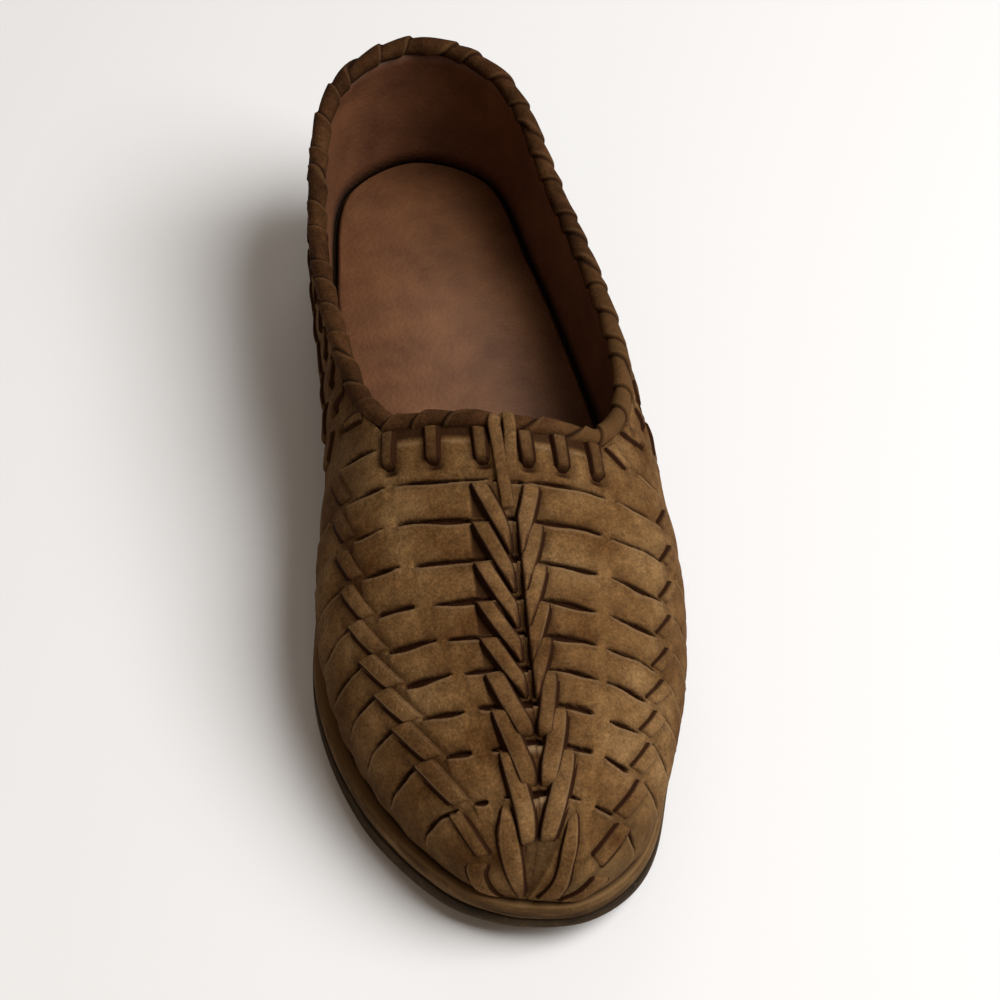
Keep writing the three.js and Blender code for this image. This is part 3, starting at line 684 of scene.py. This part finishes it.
def weave_point(side, station, level):
    return last_point(side, bent(side, station, level), level)


def weave_normal(side, station, level):
    return last_normal(side, bent(side, station, level), level)


def per_level(side, station, level):
    """Millimetres of skin to one unit of level."""
    step = 0.02
    below, above = (weave_point(side, station, level + k) for k in (-step, step))
    return np.linalg.norm(above - below) / (2 * step)


def level_from_ridge(side, station, distance):
    """Level that lies a distance down the skin from the centre ridge."""
    level = np.linspace(1, 0.2, 80)
    return np.interp(distance, run_along(weave_point(side, station, level)), level)


class Slit:
    """One cut along a row line, between two levels, with its own width, wander and lip."""

    def __init__(self, station, low, high, width=1.0, slant=0.0, pale=0.3, pale_width=0.3):
        self.station = station
        self.low = low + rng.uniform(-0.012, 0.012)
        self.high = high + rng.uniform(-0.012, 0.012)
        self.slant = slant
        self.pale = pale
        self.pale_width = pale_width
        self.width = SLIT_WIDTH * width * rng.uniform(0.75, 1.2) * min(1, 0.35 + (high - low) * 5)
        self.lip = LIP_RISE * rng.uniform(0.6, 1.3)
        self.wander = rng.uniform(0, 2 * np.pi, 3)

    def middle(self, level, run):
        """Station of the cut's middle at a level."""
        waves = np.sin(level * 13 + self.wander[0]) * 0.28 + np.sin(level * 37 + self.wander[1]) * 0.07
        return self.station + self.slant * (level - (self.low + self.high) / 2) + waves / run

    def opening(self, level):
        """Share of the cut's full width that stands open at a level."""
        t = np.clip((level - self.low) / (self.high - self.low), 0, 1)
        ragged = 1 + 0.2 * np.sin(level * 31 + self.wander[2])
        return np.sin(np.pi * t) ** 0.3 * ragged


def vamp_slits(side):
    """The cuts of each row: below the chain, on both sides of the uncut length, and under the braid."""
    slits = []
    for number, station in enumerate(VAMP_ROWS):
        chain = ramp_at(CHAIN_LEVEL, side, station)
        middle = breaks[side.name](station)
        uncut = breaks["half"](station)
        # The first two rows have broader, paler cut edges, partly painted highlight.
        cut_edge = {"pale": 0.95, "pale_width": 0.75} if number < 2 else {"pale": 0.4}
        slits += [
            Slit(station, SIDE_SLIT_LOW, chain - 0.08, width=0.8),
            Slit(station, chain + CHAIN_HALF[side.name] - 0.025, middle - uncut),
            Slit(station, middle + uncut, CENTRE_LEVEL),
            Slit(station, CENTRE_LEVEL, 1.06, width=1.1, **cut_edge),
        ]
    if side is OUTER:
        slits.append(Slit(**CORNER_SLIT))
    else:
        chain = ramp_at(CHAIN_LEVEL, side, LAST_ROW)
        slits.append(Slit(LAST_ROW, chain + CHAIN_HALF[side.name] - 0.03, 0.6))
    return slits


def quarter_slits(side):
    slits = [Slit(station, **QUARTER_SLIT) for station in STRAP_LINES]
    if side is OUTER:
        slits.append(Slit(**CORNER_QUARTER_SLIT))
    return slits


def carve(slits, station, level, run):
    """Height, painted shade and pale edges that the slits give to the skin; the pale edges are partly painted
    highlight.
    """
    height, shade, pale = (np.zeros_like(station) for _ in range(3))
    for slit in slits:
        across = (station - slit.middle(level, run)) * run
        open_width = slit.opening(level)
        reach = smoothstep(0, 0.4, open_width)
        cut = np.clip(1 - np.abs(across) / (slit.width * open_width + 1e-6), 0, 1)
        lip = np.where(across < 0, np.exp(across / 2.2), np.exp(-across / 1.2) * -0.4) * reach
        height += lip * slit.lip - SLIT_DEPTH * np.minimum(cut * 2.2, 1)
        # Painted shade: the cut is painted dark, with a soft halo of painted shade beside it.
        halo_shade = HALO_DEPTH * hump(across, HALO_REACH) * reach
        shade = np.maximum(shade, np.maximum(np.minimum(cut * 4, 1), halo_shade))
        # Pale cut edge on the toe side of the cut, partly painted highlight.
        from_edge = across + slit.width * open_width + slit.pale_width
        pale = np.maximum(pale, hump(from_edge, slit.pale_width) * reach * slit.pale)
    return height, shade, pale


def camber(lines, station):
    """Each strap swells a little between its two row lines."""
    edges = np.array([0.0] + list(lines) + [1.0 if lines[0] < 1 else 2.0])
    i = np.clip(np.searchsorted(edges, station) - 1, 0, len(edges) - 2)
    t = (station - edges[i]) / (edges[i + 1] - edges[i])
    return STRAP_CAMBER * np.sin(np.pi * np.clip(t, 0, 1)) ** 2


hill_tables = {side.name: [rng.uniform(-1, 1, (HILL_COUNT, HILL_COUNT)) for _ in HILLS] for side in SIDES}


def uneven(side, station, level):
    """Soft unevenness of the worn skin."""
    total = 0
    for (size, height), table in zip(HILLS, hill_tables[side.name]):
        along = station_run(station, VAMP_RUN, VAMP_RUN + QUARTER_RUN) / size
        across = level * SKIN_RISE / size
        i, j = np.floor(along).astype(int), np.floor(across).astype(int)
        s, t = smoothstep(0, 1, along - i), smoothstep(0, 1, across - j)
        i, j = i % (HILL_COUNT - 1), j % (HILL_COUNT - 1)
        near = table[i, j] * (1 - t) + table[i, j + 1] * t
        far = table[i + 1, j] * (1 - t) + table[i + 1, j + 1] * t
        total = total + (near * (1 - s) + far * s) * height
    return total * smoothstep(0, 0.05, station) * smoothstep(0, 0.1, level) * (1 - smoothstep(0.9, 1, level))


def skin_rise(side, station, level):
    """Height of the skin over the last, before any slit is cut."""
    swell = np.where(station <= 1, camber(VAMP_ROWS, station), camber(STRAP_LINES, station))
    return swell * smoothstep(0, 0.04, level) + uneven(side, station, level)


def dense_stations(lines, run, start, end, plain_step):
    """Stations along the foot, close together across each slit."""
    stations = [start, end]
    for line in lines:
        stations.extend(line + np.array(SLIT_COLUMNS) / run)
    for station in np.linspace(start, end, int((end - start) * run / plain_step)):
        if min(abs(station - line) for line in lines) > 1.9 / run:
            stations.append(station)
    return np.unique(np.round([s for s in stations if start <= s <= end], 6))


def wall_levels(side, station):
    """Levels of the skin's rows, bent near the throat so that a row meets the corner of the opening."""
    low = np.linspace(0, CORNER, CORNER_ROW + 1)
    high = np.linspace(CORNER, 1, TOP_ROW - CORNER_ROW + 1)[1:]
    level = np.concatenate([low, high])[None, :]
    edge = collar_level(side, np.maximum(station, 1))[:, None]
    warped = np.where(level <= CORNER, level / CORNER * edge,
                      edge + (level - CORNER) / (1 - CORNER) * (1 - edge))
    bend = smoothstep(0.85, 1, station)[:, None]
    bent_level = level + (warped - level) * bend
    return bent_level, np.broadcast_to(level, bent_level.shape)


def skin_points(side, station, level, proud):
    normal = weave_normal(side, station, level)
    normal = np.where((level <= 0)[..., None], unit(normal * np.array([1, 1, 0])), normal)
    return weave_point(side, station, level) + normal * np.asarray(proud)[..., None]


def tab_pits(side, station, level):
    """The holes that the whip tabs run into, which take painted shade."""
    pits = np.zeros_like(station)
    for tab in TABS[side.name]:
        end = (tab.near[-1] + tab.far[-1]) / 2
        run = VAMP_RUN if end[0] < 1 else QUARTER_RUN
        along = ((station - end[0]) * run + 0.3) / PIT_HALF[0]
        across = (level - end[1]) * SKIN_RISE / PIT_HALF[1]
        pits = np.maximum(pits, np.exp(-(along**2 + across**2) ** 2))
    return pits


def braid_gaps(side, station, level):
    """The wedges beside the braid, where a strap is cut back from the lace over it, which take painted shade.
    """
    gaps = np.zeros_like(station)
    toe_depth, throat_depth = BRAID_GAP[side.name]
    for number, row in enumerate(VAMP_ROWS):
        edge = ramp_at(BRAID_EDGE, side, row)
        ahead = VAMP_ROWS[number - 1] if number else WEDGE_TOE
        t = (row - station) / (row - ahead)
        lace_side = edge + (1 - edge) * t / 2
        across = np.minimum(level - edge - 0.003, lace_side + 0.012 - level) * SKIN_RISE
        wedge = smoothstep(-0.1, 0.3, across) * smoothstep(0.06, 0.2, t) * (1 - smoothstep(0.92, 1.0, t))
        depth = toe_depth + (throat_depth - toe_depth) * min(number / 5, 1)
        gaps = np.maximum(gaps, wedge * depth * rng.uniform(0.8, 1.0))
    return gaps


def woven_skin(side, q, level, row_level):
    """Height of the skin over the last, with its painted shade, pale edges that are partly painted highlight,
    and dust.
    """
    on_vamp = q <= 1
    vamp = carve(vamp_slits(side), q, row_level, VAMP_RUN)
    quarter = carve(quarter_slits(side), q, row_level / CORNER, QUARTER_RUN)
    height, shade, pale = (np.where(on_vamp, a, b) for a, b in zip(vamp, quarter))
    height = height * smoothstep(0, 0.04, row_level) + skin_rise(side, q, level)
    pits = tab_pits(side, q, level)
    gaps = braid_gaps(side, q, level)
    holes = np.maximum(pits, gaps)
    height = height * (1 - holes) - PIT_DEPTH * pits - PIT_DEPTH / 2 * gaps
    at_throat = row_level > CORNER
    # Painted shade on the quarters and low on the wall towards the throat, deeper on the inner side.
    tint_and_shade = np.maximum(smoothstep(0.97, 1.12, q), smoothstep(0.72, 0.95, q) * smoothstep(0.62, 0.45, level))
    # Painted shade in and beside the slits, in the holes and wedges, in the seam of the braid, between the
    # leaves of the toe, under the rolled edge, along the foot of the wall, on the quarters and beside the
    # laces.
    shades = [
        shade,
        holes,
        SEAM_SHADE * hump((1 - level) * SKIN_RISE, SEAM_WIDTH) * ((q > 0.1) & on_vamp),
        TOE_WELL * smoothstep(0.2, 0.14, q) * smoothstep(0.78, 0.84, level),
        UNDER_ROLL * smoothstep(0.97, 0.981, q) * at_throat,
        # Painted shade along the foot of the wall, deeper on the inner side.
        LOW_WALL_SHADE[side.name] * smoothstep(0.45, 0.05, level),
        QUARTER_SHADE[side.name] * tint_and_shade,
    ]
    shades.extend(strap.halo_shade(q, level) for strap in STRAPS[side.name])
    line = hump((q - THROAT_PALE["station"]) * VAMP_RUN, THROAT_PALE["width"])
    pale = np.maximum(pale, THROAT_PALE["depth"] * line * at_throat)
    dust_and_light = TOE_DUST[side.name] * smoothstep(0.45, 0.1, q) * smoothstep(0.7, 0.3, level)
    return height, np.stack([np.maximum.reduce(shades), pale, dust_and_light], -1)


def upper_wall():
    build = Builder()
    picked = np.arange(0, TOP_ROW + 1, LINING_STEP)
    corner = CORNER_ROW // LINING_STEP
    for side in SIDES:
        vamp = dense_stations(ALL_ROWS, VAMP_RUN, 0, 1, 1.2)
        quarter = dense_stations(STRAP_LINES, QUARTER_RUN, 1, 2, 1.4)[1:]
        station = np.concatenate([vamp, quarter])
        level, row_level = wall_levels(side, station)
        q = np.broadcast_to(station[:, None], level.shape)
        height, tone = woven_skin(side, q, level, row_level)
        skin = build.add(skin_points(side, q, level, height), tone)
        lining = build.add(skin_points(side, q[:, picked], level[:, picked], -WALL))
        throat = len(vamp) - 1
        for index, row, slot in ((skin, CORNER_ROW, 0), (lining, corner, 1)):
            build.sheet(index[:, :row + 1], slot)
            build.sheet(index[:throat + 1, row:], slot)
        build.zip(skin[:, 0], lining[:, 0])
        build.zip(skin[throat:, CORNER_ROW], lining[throat:, corner])
        build.zip(skin[throat, CORNER_ROW:], lining[throat, corner:])
    return build.build("upper_wall", [UPPER_SKIN, LINING])


# Laces

class Strap:
    """A flat lace on the skin between two edge lines of places, of one of the kinds in the table."""

    def __init__(self, side, near, far, lift, ends,
                 pale=(0.2, 0.1), lines=(1, 1), climb=0.0, shade=0.15, tint_and_shade=0.0):
        self.side = side
        self.near = self.along(near)
        self.far = self.along(far)
        self.lift = lift * rng.uniform(0.9, 1.1)
        self.ends = ends
        self.pale = [share * rng.uniform(0.3, 1.0) for share in pale]
        # Random tone, plus an added tint: darker on the tabs, and painted shade on laces over the quarters.
        self.shade = rng.uniform(0, shade) + tint_and_shade
        self.lines = lines
        self.climb = climb
        self.wave = rng.uniform(0, 2 * np.pi)

    def along(self, places):
        line = centripetal(places, closed=False, per=12) if len(places) > 2 else np.array(places, float)
        return at_run(line, np.linspace(0, 1, len(line)), np.linspace(0, 1, LACE_POINTS))

    def halo_shade(self, station, level):
        """Painted shade on the skin beside the lace."""
        run = VAMP_RUN if self.near[0, 0] <= 1 else QUARTER_RUN
        scale = np.array([run, HALO_RISE])
        lines = np.concatenate([self.near, self.far])
        low = lines.min(0) - 4 / scale
        high = lines.max(0) + 4 / scale
        close = (station > low[0]) & (station < high[0]) & (level > low[1]) & (level < high[1])
        shade = np.zeros(station.shape)
        if close.any():
            here = np.stack([station[close], level[close]], 1)
            distance = np.linalg.norm((here[:, None] - lines[None]) * scale, axis=-1).min(1)
            shade[close] = HALO_DEPTH * max(self.lines) * hump(distance, HALO_REACH)
        return shade

    def lay(self, build):
        """The lace's rounded top, with a thin painted line of shadow on the skin along both edges, and
        painted shade along its own edges and at its tucked ends.
        """
        s = np.linspace(0, 1, LACE_POINTS)[:, None]
        w = np.array([-across for across in LACE_ACROSS[:0:-1]] + list(LACE_ACROSS))[None, :]
        place = self.near[:, None] * (1 - w[..., None]) / 2 + self.far[:, None] * (1 + w[..., None]) / 2
        q, level = place[..., 0], place[..., 1]
        base = weave_point(self.side, q, level)
        normal = weave_normal(self.side, q, level)
        rise = skin_rise(self.side, q, level)
        start, end = self.ends
        shown = smoothstep(0, start, s) * (1 - smoothstep(1 - end, 1, s))
        swell = 1 + 0.1 * np.sin(s * 9 + self.wave + w)
        lift = self.lift * (1 + self.climb * (s - 0.5))
        thick = np.interp(np.abs(w), LACE_ACROSS, LACE_HEIGHT) * swell * lift
        top = (thick + LACE_SINK) * shown - LACE_SINK + rise
        width = np.linalg.norm(base[:, -1] - base[:, 0], axis=1)[:, None] + 1e-6
        outward = (base[:, -1] - base[:, 0]) / width
        flat = 0.14 * shown - LACE_SINK * (1 - shown)
        feet = []
        for edge, way in ((0, -1), (-1, 1)):
            reach = way * LACE_SHADOW * self.lines[edge] ** 2
            feet.append(base[:, edge] + outward * reach + normal[:, edge] * (flat + rise[:, edge][:, None]))
        under = [feet[1] - normal[:, -1], feet[0] - normal[:, 0]]
        upper = base + normal * top[..., None]
        rings = np.concatenate([feet[0][:, None], upper, np.stack([feet[1]] + under, 1)], 1)
        tone = np.zeros(rings.shape)
        # Painted shadow: the feet along both edges and the underside are dark.
        tone[..., 0] = DARK
        last = upper.shape[1]
        tone[:, [0, last + 1], 0] *= np.minimum(self.lines, 1)
        # Painted shade at the tucked ends and along the lace's own edges.
        dark_ends = 0.9 * (1 - smoothstep(0, start * 0.8, s) + smoothstep(1 - end * 0.8, 1, s))
        from_edge = (1 - np.abs(w)) * width / 2
        sides = DARK * (1 - smoothstep(0.3 * LACE_LINE, LACE_LINE, from_edge)) * np.where(w < 0, *self.lines)
        # Pale cut edges, partly painted highlight.
        cut_edge_highlights = hump(np.abs(w) - CUT_EDGE, CUT_WIDTH) * np.where(w < 0, *self.pale) * shown
        shade = np.maximum(dark_ends, sides * (1 - cut_edge_highlights)) + self.shade
        tone[:, 1:last + 1, 0] = np.clip(shade, 0, DARK)
        tone[:, 1:last + 1, 1] = cut_edge_highlights
        build.tube(rings, tone)


def braid(side):
    """The centre braid: from each slit a lace runs forward and inward, past the next one, to the ridge."""
    straps = []
    for number, row in enumerate(VAMP_ROWS[1:], 1):
        first = row + 0.003
        last = (VAMP_ROWS[number - 2] if number >= 2 else BRAID_TOE) + 0.007
        edge = ramp_at(BRAID_EDGE, side, row)
        start = (1 - edge) * per_level(side, row, (1 + edge) / 2)
        finish, groove, width, ends = BLUNT_LACE if number < BLUNT_ROWS else SHARP_LACE
        width = min(start * 0.6, width)
        near, far = [], []
        for t in np.linspace(0, 1, 7):
            station = first + (last - first) * t
            out = start + (finish - start) * t ** BRAID_BEND[side.name]
            near.append((station, level_from_ridge(side, station, out)))
            far.append((station, level_from_ridge(side, station, max(out - width, groove))))
        straps.append(Strap(side, near, far, ends=ends, **LACES["braid"]))
    straps.append(Strap(side, *TOE_LEAVES[side.name], **LACES["leaf"]))
    return straps


def side_chain(side):
    """Short laces from each slit of the side wall to the next of the vamp, and the straps of the toe."""
    straps = []
    chain_half = CHAIN_HALF[side.name]
    for here, ahead in zip(ALL_ROWS[1:], ALL_ROWS):
        middle = ramp_at(CHAIN_LEVEL, side, (here + ahead) / 2)
        taper = 1 - 0.3 * smoothstep(0.4, 0.8, here)
        width = CHAIN_WIDTH[side.name] * taper / per_level(side, here, middle)
        late = 0.3 * smoothstep(0.6, 0.85, here)
        start = here + CHAIN_START[side.name] - (here - ahead) * late
        far = [(start, middle - chain_half * (1 - 2 * late)), (ahead + 0.002, middle + chain_half)]
        near = [(station, level - width) for station, level in far]
        # Chain laces near the throat take a share of the quarters' painted shade.
        tint_and_shade = LACE_SHARE * QUARTER_SHADE[side.name] * smoothstep(0.7, 0.95, here)
        straps.append(Strap(side, near, far, tint_and_shade=tint_and_shade, **LACES[side.name + " chain"]))
    for near, far in TOE_STRAPS[side.name]:
        straps.append(Strap(side, near, far, **LACES["toe strap"]))
    return straps


def quarter_chain(side):
    """Slanted laces over the slits of the quarters, and two others at the outer corner of the throat."""
    straps = []
    lines = STRAP_LINES[:-2]
    if side is OUTER:
        straps = [Strap(side, near, far, **LACES["corner"]) for near, far in CORNER_LACES]
    else:
        lines = [1.0] + lines
    # Laces over the quarters take a share of their painted shade.
    tint_and_shade = LACE_SHARE * QUARTER_SHADE[side.name]
    for line in lines:
        places = [(line + past, collar_level(side, line + past) * share) for past, share in QUARTER_LACE]
        straps.append(Strap(side, places[:2], places[2:], tint_and_shade=tint_and_shade, **LACES["quarter"]))
    return straps


def whip_tabs(side):
    """Tabs from under the rolled edge, down the wall and into their holes."""
    straps = []
    for level in THROAT_TABS[side.name]:
        width = LACE_WIDTH * 0.52 / per_level(side, 0.95, level)
        near, far = ([(1.0, level + w), (TAB_END, level + w * TAB_TAPER)] for w in (-width, width))
        straps.append(Strap(side, near, far, **LACES["throat tab"]))
    width = LACE_WIDTH * 0.5 / QUARTER_RUN
    for station in TAB_STATIONS:
        foot = station - TAB_SLANT * smoothstep(1.04, 1.2, station)
        edge = collar_level(side, station)
        level = collar_level(side, max(foot, 1.0)) * TAB_FOOT
        near, far = ([(station + w, edge), (foot + w * TAB_TAPER, level)] for w in (-width, width))
        straps.append(Strap(side, near, far, **LACES["quarter tab"]))
    return straps


def throat_strip(build, side):
    """One of the two strips that come over the rolled edge at the middle of the throat."""
    centre, away, normal = roll_frame(side, (1.0, 1.0), (1.0, 1.0), (1.0, 0.98))
    station = np.linspace(1.0, STRIP_END[side.name], 12)
    level = np.linspace(0.975, 0.99, 12)
    lift = np.concatenate([[1.9, 1.4], np.full(8, 0.9), [0.2, -0.9]])
    skin_normal = weave_normal(side, station, level)
    skin = weave_point(side, station, level) + skin_normal * lift[:, None]
    sideways = (skin[0] - centre) * np.array([1, 0, 0])
    over = np.array([centre - normal * 1.5 + away * 2.0, centre + normal * 1.2 + away * 1.9,
                     centre + normal * 2.6 + away * 0.4]) + sideways
    up = np.array([away - normal * 0.5, away + normal * 0.6, normal + away * 0.2])
    line = centripetal(np.concatenate([over, skin]), closed=False, per=4)
    normals = centripetal(np.concatenate([up, skin_normal]), closed=False, per=4)
    lay_cord(build, line, normals, LACE_WIDTH * 0.8, LACE_THICK)


def lay_cord(build, centre, normal, width, thick):
    """A free lace along a line of points, each with the normal of what it lies on."""
    ahead = unit(np.gradient(centre, axis=0))
    across = unit(np.cross(normal, ahead))
    up = np.cross(ahead, across)
    angle = np.arange(14) / 14 * 2 * np.pi
    wide = np.sign(np.cos(angle)) * np.abs(np.cos(angle)) ** 0.55 * width / 2
    high = np.sign(np.sin(angle)) * np.abs(np.sin(angle)) ** 0.7 * thick / 2
    rings = centre[:, None] + across[:, None] * wide[None, :, None] + up[:, None] * high[None, :, None]
    tone = np.zeros(rings.shape)
    # A darker tone throughout, with painted shade along the edges and where the strip tucks in at its end.
    tone[..., 0] = 0.25 + 0.35 * (np.abs(wide) > width * 0.47)[None, :]
    tone[-4:, :, 0] = 0.8
    build.tube(rings, tone)


def laces():
    build = Builder()
    for side in SIDES:
        for strap in STRAPS[side.name]:
            strap.lay(build)
        throat_strip(build, side)
    return build.build("upper_laces", [LACE_SKIN])


TABS = {side.name: whip_tabs(side) for side in SIDES}
STRAPS = {side.name: side_chain(side) + quarter_chain(side) + braid(side) + TABS[side.name] for side in SIDES}


# Rolled edge

def roll_frame(side, here, before, after, reach=1.0):
    """Centre of the rolled edge at a place on the wall's edge, the way off it, and the wall's normal."""
    edge = [last_point(side, *p) - last_normal(side, *p) * WALL / 2 for p in (here, before, after)]
    normal = last_normal(side, *here)
    away = unit(np.cross(normal, edge[2] - edge[1]) * side.sign)
    return edge[0] + away * ROLL_SEAT * reach, away, normal


def roll_path(side):
    """Frames of the rolled edge from the middle of the throat to the back."""
    corner = collar_level(side, 1.0)
    step = 0.015

    def quarter(station):
        return station, collar_level(side, station)

    frames = []
    for level in np.linspace(1, corner + CORNER_CLEAR["level"], 7):
        frames.append(roll_frame(side, (1.0, level), (1.0, min(level + step, 1)), (1.0, level - step)))
    frames.append(roll_frame(side, (1.0, corner), (1.0, corner + 0.05), quarter(1.03), CORNER_CLEAR["reach"]))
    for station in np.linspace(1 + CORNER_CLEAR["station"], 2, 26):
        ahead = quarter(min(station + step, 2.0))
        frames.append(roll_frame(side, quarter(station), quarter(station - step), ahead))
    return frames


def rolled_edge():
    """A lace wound round the top edge, each turn lying over the one before."""
    frames = roll_path(OUTER) + roll_path(INNER)[1:-1][::-1]
    path = centripetal([np.concatenate(parts) for parts in frames], closed=True, per=20)
    centre, away, normal = path[:, :3], unit(path[:, 3:6]), unit(path[:, 6:])
    run = run_along(np.concatenate([centre, centre[:1]]))
    turns = round(run[-1] / ROLL_PITCH)
    angle = np.arange(ROLL_AROUND) / ROLL_AROUND * 2 * np.pi
    share = run[:-1, None] / run[-1]
    vary = sum(size * np.sin(2 * np.pi * share * waves + start) for size, waves, start in UNEVEN_TURNS)
    turn = (share * turns + vary + angle[None] / (2 * np.pi)) % 1
    swell = np.where(turn < 0.1, turn / 0.1, 1 - 0.9 * (np.maximum(turn - 0.1, 0) / 0.9) ** 1.2)
    radius = ROLL_RADIUS * (0.74 + 0.32 * swell)
    spoke = away[:, None] * np.cos(angle)[None, :, None] + normal[:, None] * np.sin(angle)[None, :, None]
    rings = centre[:, None] + spoke * radius[..., None]
    tone = np.zeros(rings.shape)
    # Painted shade where each turn lies over the one before.
    tone[..., 0] = 0.95 * hump(np.minimum(turn, 1 - turn), 0.045)
    tone[..., 1] = 0.25 * hump(turn - 0.12, 0.05)
    # Painted light on the rolled edge near the outer corner of the throat.
    tone[..., 2] = ROLL_PAINTED_LIGHT * smoothstep(0.02, 0.06, share) * (1 - smoothstep(0.12, 0.3, share))
    build = Builder()
    build.tube(rings, tone, closed=True)
    return build.build("rolled_edge", [ROLL_SKIN])


# Sole

feather_line = np.concatenate([OUTER.line, INNER.line[-2:0:-1]])
along_feather = np.roll(feather_line, -1, 0) - np.roll(feather_line, 1, 0)
feather_out = unit(np.stack([along_feather[:, 1], -along_feather[:, 0]], 1))
on_outer = np.arange(len(feather_line)) < len(OUTER.line)
ledge = np.where(on_outer, OUTER.ledge(feather_line[:, 1]), INNER.ledge(feather_line[:, 1]))


def sole_layer(name, rings, material):
    """A layer of the sole from rings of its edge: how far out of the feather line, how high, and its tone."""
    build = Builder()
    loops = []
    for out, height, tone in rings:
        line = feather_line + feather_out * out[:, None]
        loop = np.concatenate([line, height(line[:, 1])[:, None]], 1)
        loops.append(build.add(loop, tone))
    index = np.array(loops)
    build.sheet(np.concatenate([index, index[:, :1]], 1))
    # A ladder of faces across the layer closes it above and below, with a triangle at each end.
    for loop in (loops[0], loops[-1]):
        for i in range(len(loop) // 2):
            build.face(dict.fromkeys(loop[[i, i + 1, -i - 1, -i]].tolist()))
    return build.build(name, [material])


def from_feather(rise):
    """A height that follows the feather line."""
    return lambda y: feather_z(y) + rise


midsole_top = from_feather(-GAP)
midsole_under = from_feather(-GAP - MIDSOLE_THICKNESS)
outsole_top = from_feather(-GAP * 4 / 3 - MIDSOLE_THICKNESS)


def midsole():
    # Painted shade on the underside, on the lower part of the edge and where the ledge meets the wall;
    # painted highlight on the upper part of the edge and on the ledge's top.
    rings = [(ledge - 0.5, midsole_under, (0.9, 0, 0))]
    for t in np.linspace(0.06, 0.94, 8):
        bulge = MIDSOLE_BULGE * (math.sin(math.pi * t) - max(0, t - 0.8) / 0.2)
        tone = (0.5 * max(0, 0.3 - t), 0.35 * max(0, t - 0.5), 0)
        rings.append((ledge + bulge, from_feather(-GAP - MIDSOLE_THICKNESS * (1 - t)), tone))
    rings.append((ledge - 0.6, midsole_top, (0, 0.9, 0)))
    rings.append((np.minimum(ledge - 0.8, 0.9), midsole_top, (0, 0.6, 0)))
    rings.append((np.minimum(ledge - 1.1, -0.4), midsole_top, (0.95, 0, 0)))
    return sole_layer("midsole_layer", rings, MIDSOLE_EDGE)


def outsole():
    edge = ledge + OUTSOLE_STEP
    rings = [(edge - 1.2, tread_z, (0.2, 0.1, 0))]
    for inset, rise in ((0.45, 0.12), (0.1, 0.5), (0, TREAD_EDGE)):
        rings.append((edge - inset, lambda y, r=rise: tread_z(y) + r, (0, 0.25, 0)))
    for t in (0.5, 0.85):
        rings.append((edge - 0.05,
                      lambda y, t=t: (tread_z(y) + TREAD_EDGE) * (1 - t) + outsole_top(y) * t, (0.1, 0, 0)))
    # Painted shade where the outsole meets the midsole.
    rings.append((edge - 0.5, outsole_top, (0.8, 0, 0)))
    return sole_layer("outsole_layer", rings, OUTSOLE_EDGE)


def insole():
    rings = []
    for inset, rise in ((0, 0.1), (0, INSOLE_THICKNESS * 0.7), (0.8, INSOLE_THICKNESS)):
        rings.append((0 * ledge - INSOLE_EDGE - inset, from_feather(rise), (0, 0, 0)))
    return sole_layer("insole_bed", rings, FOOTBED)


# Stage

def floor():
    material, _, surface = nodes_of("floor_paper")
    surface.inputs["Base Color"].default_value = grey(0.86)
    surface.inputs["Roughness"].default_value = 0.9
    mesh = bpy.data.meshes.new("floor")
    corners = [(x * FLOOR_HALF, y * FLOOR_HALF, FLOOR_Z) for x, y in ((-1, -1), (1, -1), (1, 1), (-1, 1))]
    mesh.from_pydata(corners, [], [(0, 1, 2, 3)])
    mesh.materials.append(material)
    obj = placed("floor", mesh)


def lights():
    for name, (place, aim_height, size, power, colour) in LIGHTS.items():
        data = bpy.data.lights.new(name, "AREA")
        data.size = size
        data.energy = power
        data.color = colour
        obj = placed(name, data)
        obj.location = place
        toward = Vector((0, 0, aim_height)) - Vector(place)
        obj.rotation_euler = toward.to_track_quat("-Z", "Y").to_euler()
    world = bpy.data.worlds.new("studio")
    world.use_nodes = True
    background = world.node_tree.nodes["Background"]
    background.inputs["Color"].default_value = WORLD_COLOUR
    background.inputs["Strength"].default_value = WORLD_STRENGTH
    bpy.context.scene.world = world


def camera():
    azimuth, elevation, roll = (math.radians(VIEW[k]) for k in ("azimuth", "elevation", "roll"))
    back = Vector((math.sin(azimuth) * math.cos(elevation), -math.cos(azimuth) * math.cos(elevation),
                   math.sin(elevation)))
    level = (-back).cross(Vector((0, 0, 1))).normalized()
    rise = level.cross(-back)
    right = level * math.cos(roll) + rise * math.sin(roll)
    up = rise * math.cos(roll) - level * math.sin(roll)
    data = bpy.data.cameras.new("camera")
    data.angle = math.radians(VIEW["field"])
    data.clip_start = 0.01
    obj = placed("camera", data)
    turn = Matrix((right, up, back)).transposed().to_4x4()
    place = Vector(to_frame(AIM)) + back * VIEW["distance"] * MM
    obj.matrix_world = Matrix.Translation(place) @ turn
    bpy.context.scene.camera = obj


camera()
lights()
floor()

wall = upper_wall()
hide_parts("upper")
ties = laces()
roll = rolled_edge()
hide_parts("collar_binding")
for piece, cad_node in ((midsole(), "midsole"), (outsole(), "outsole"), (insole(), "insole")):
    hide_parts(cad_node)

bpy.context.scene.view_settings.view_transform = "Standard"
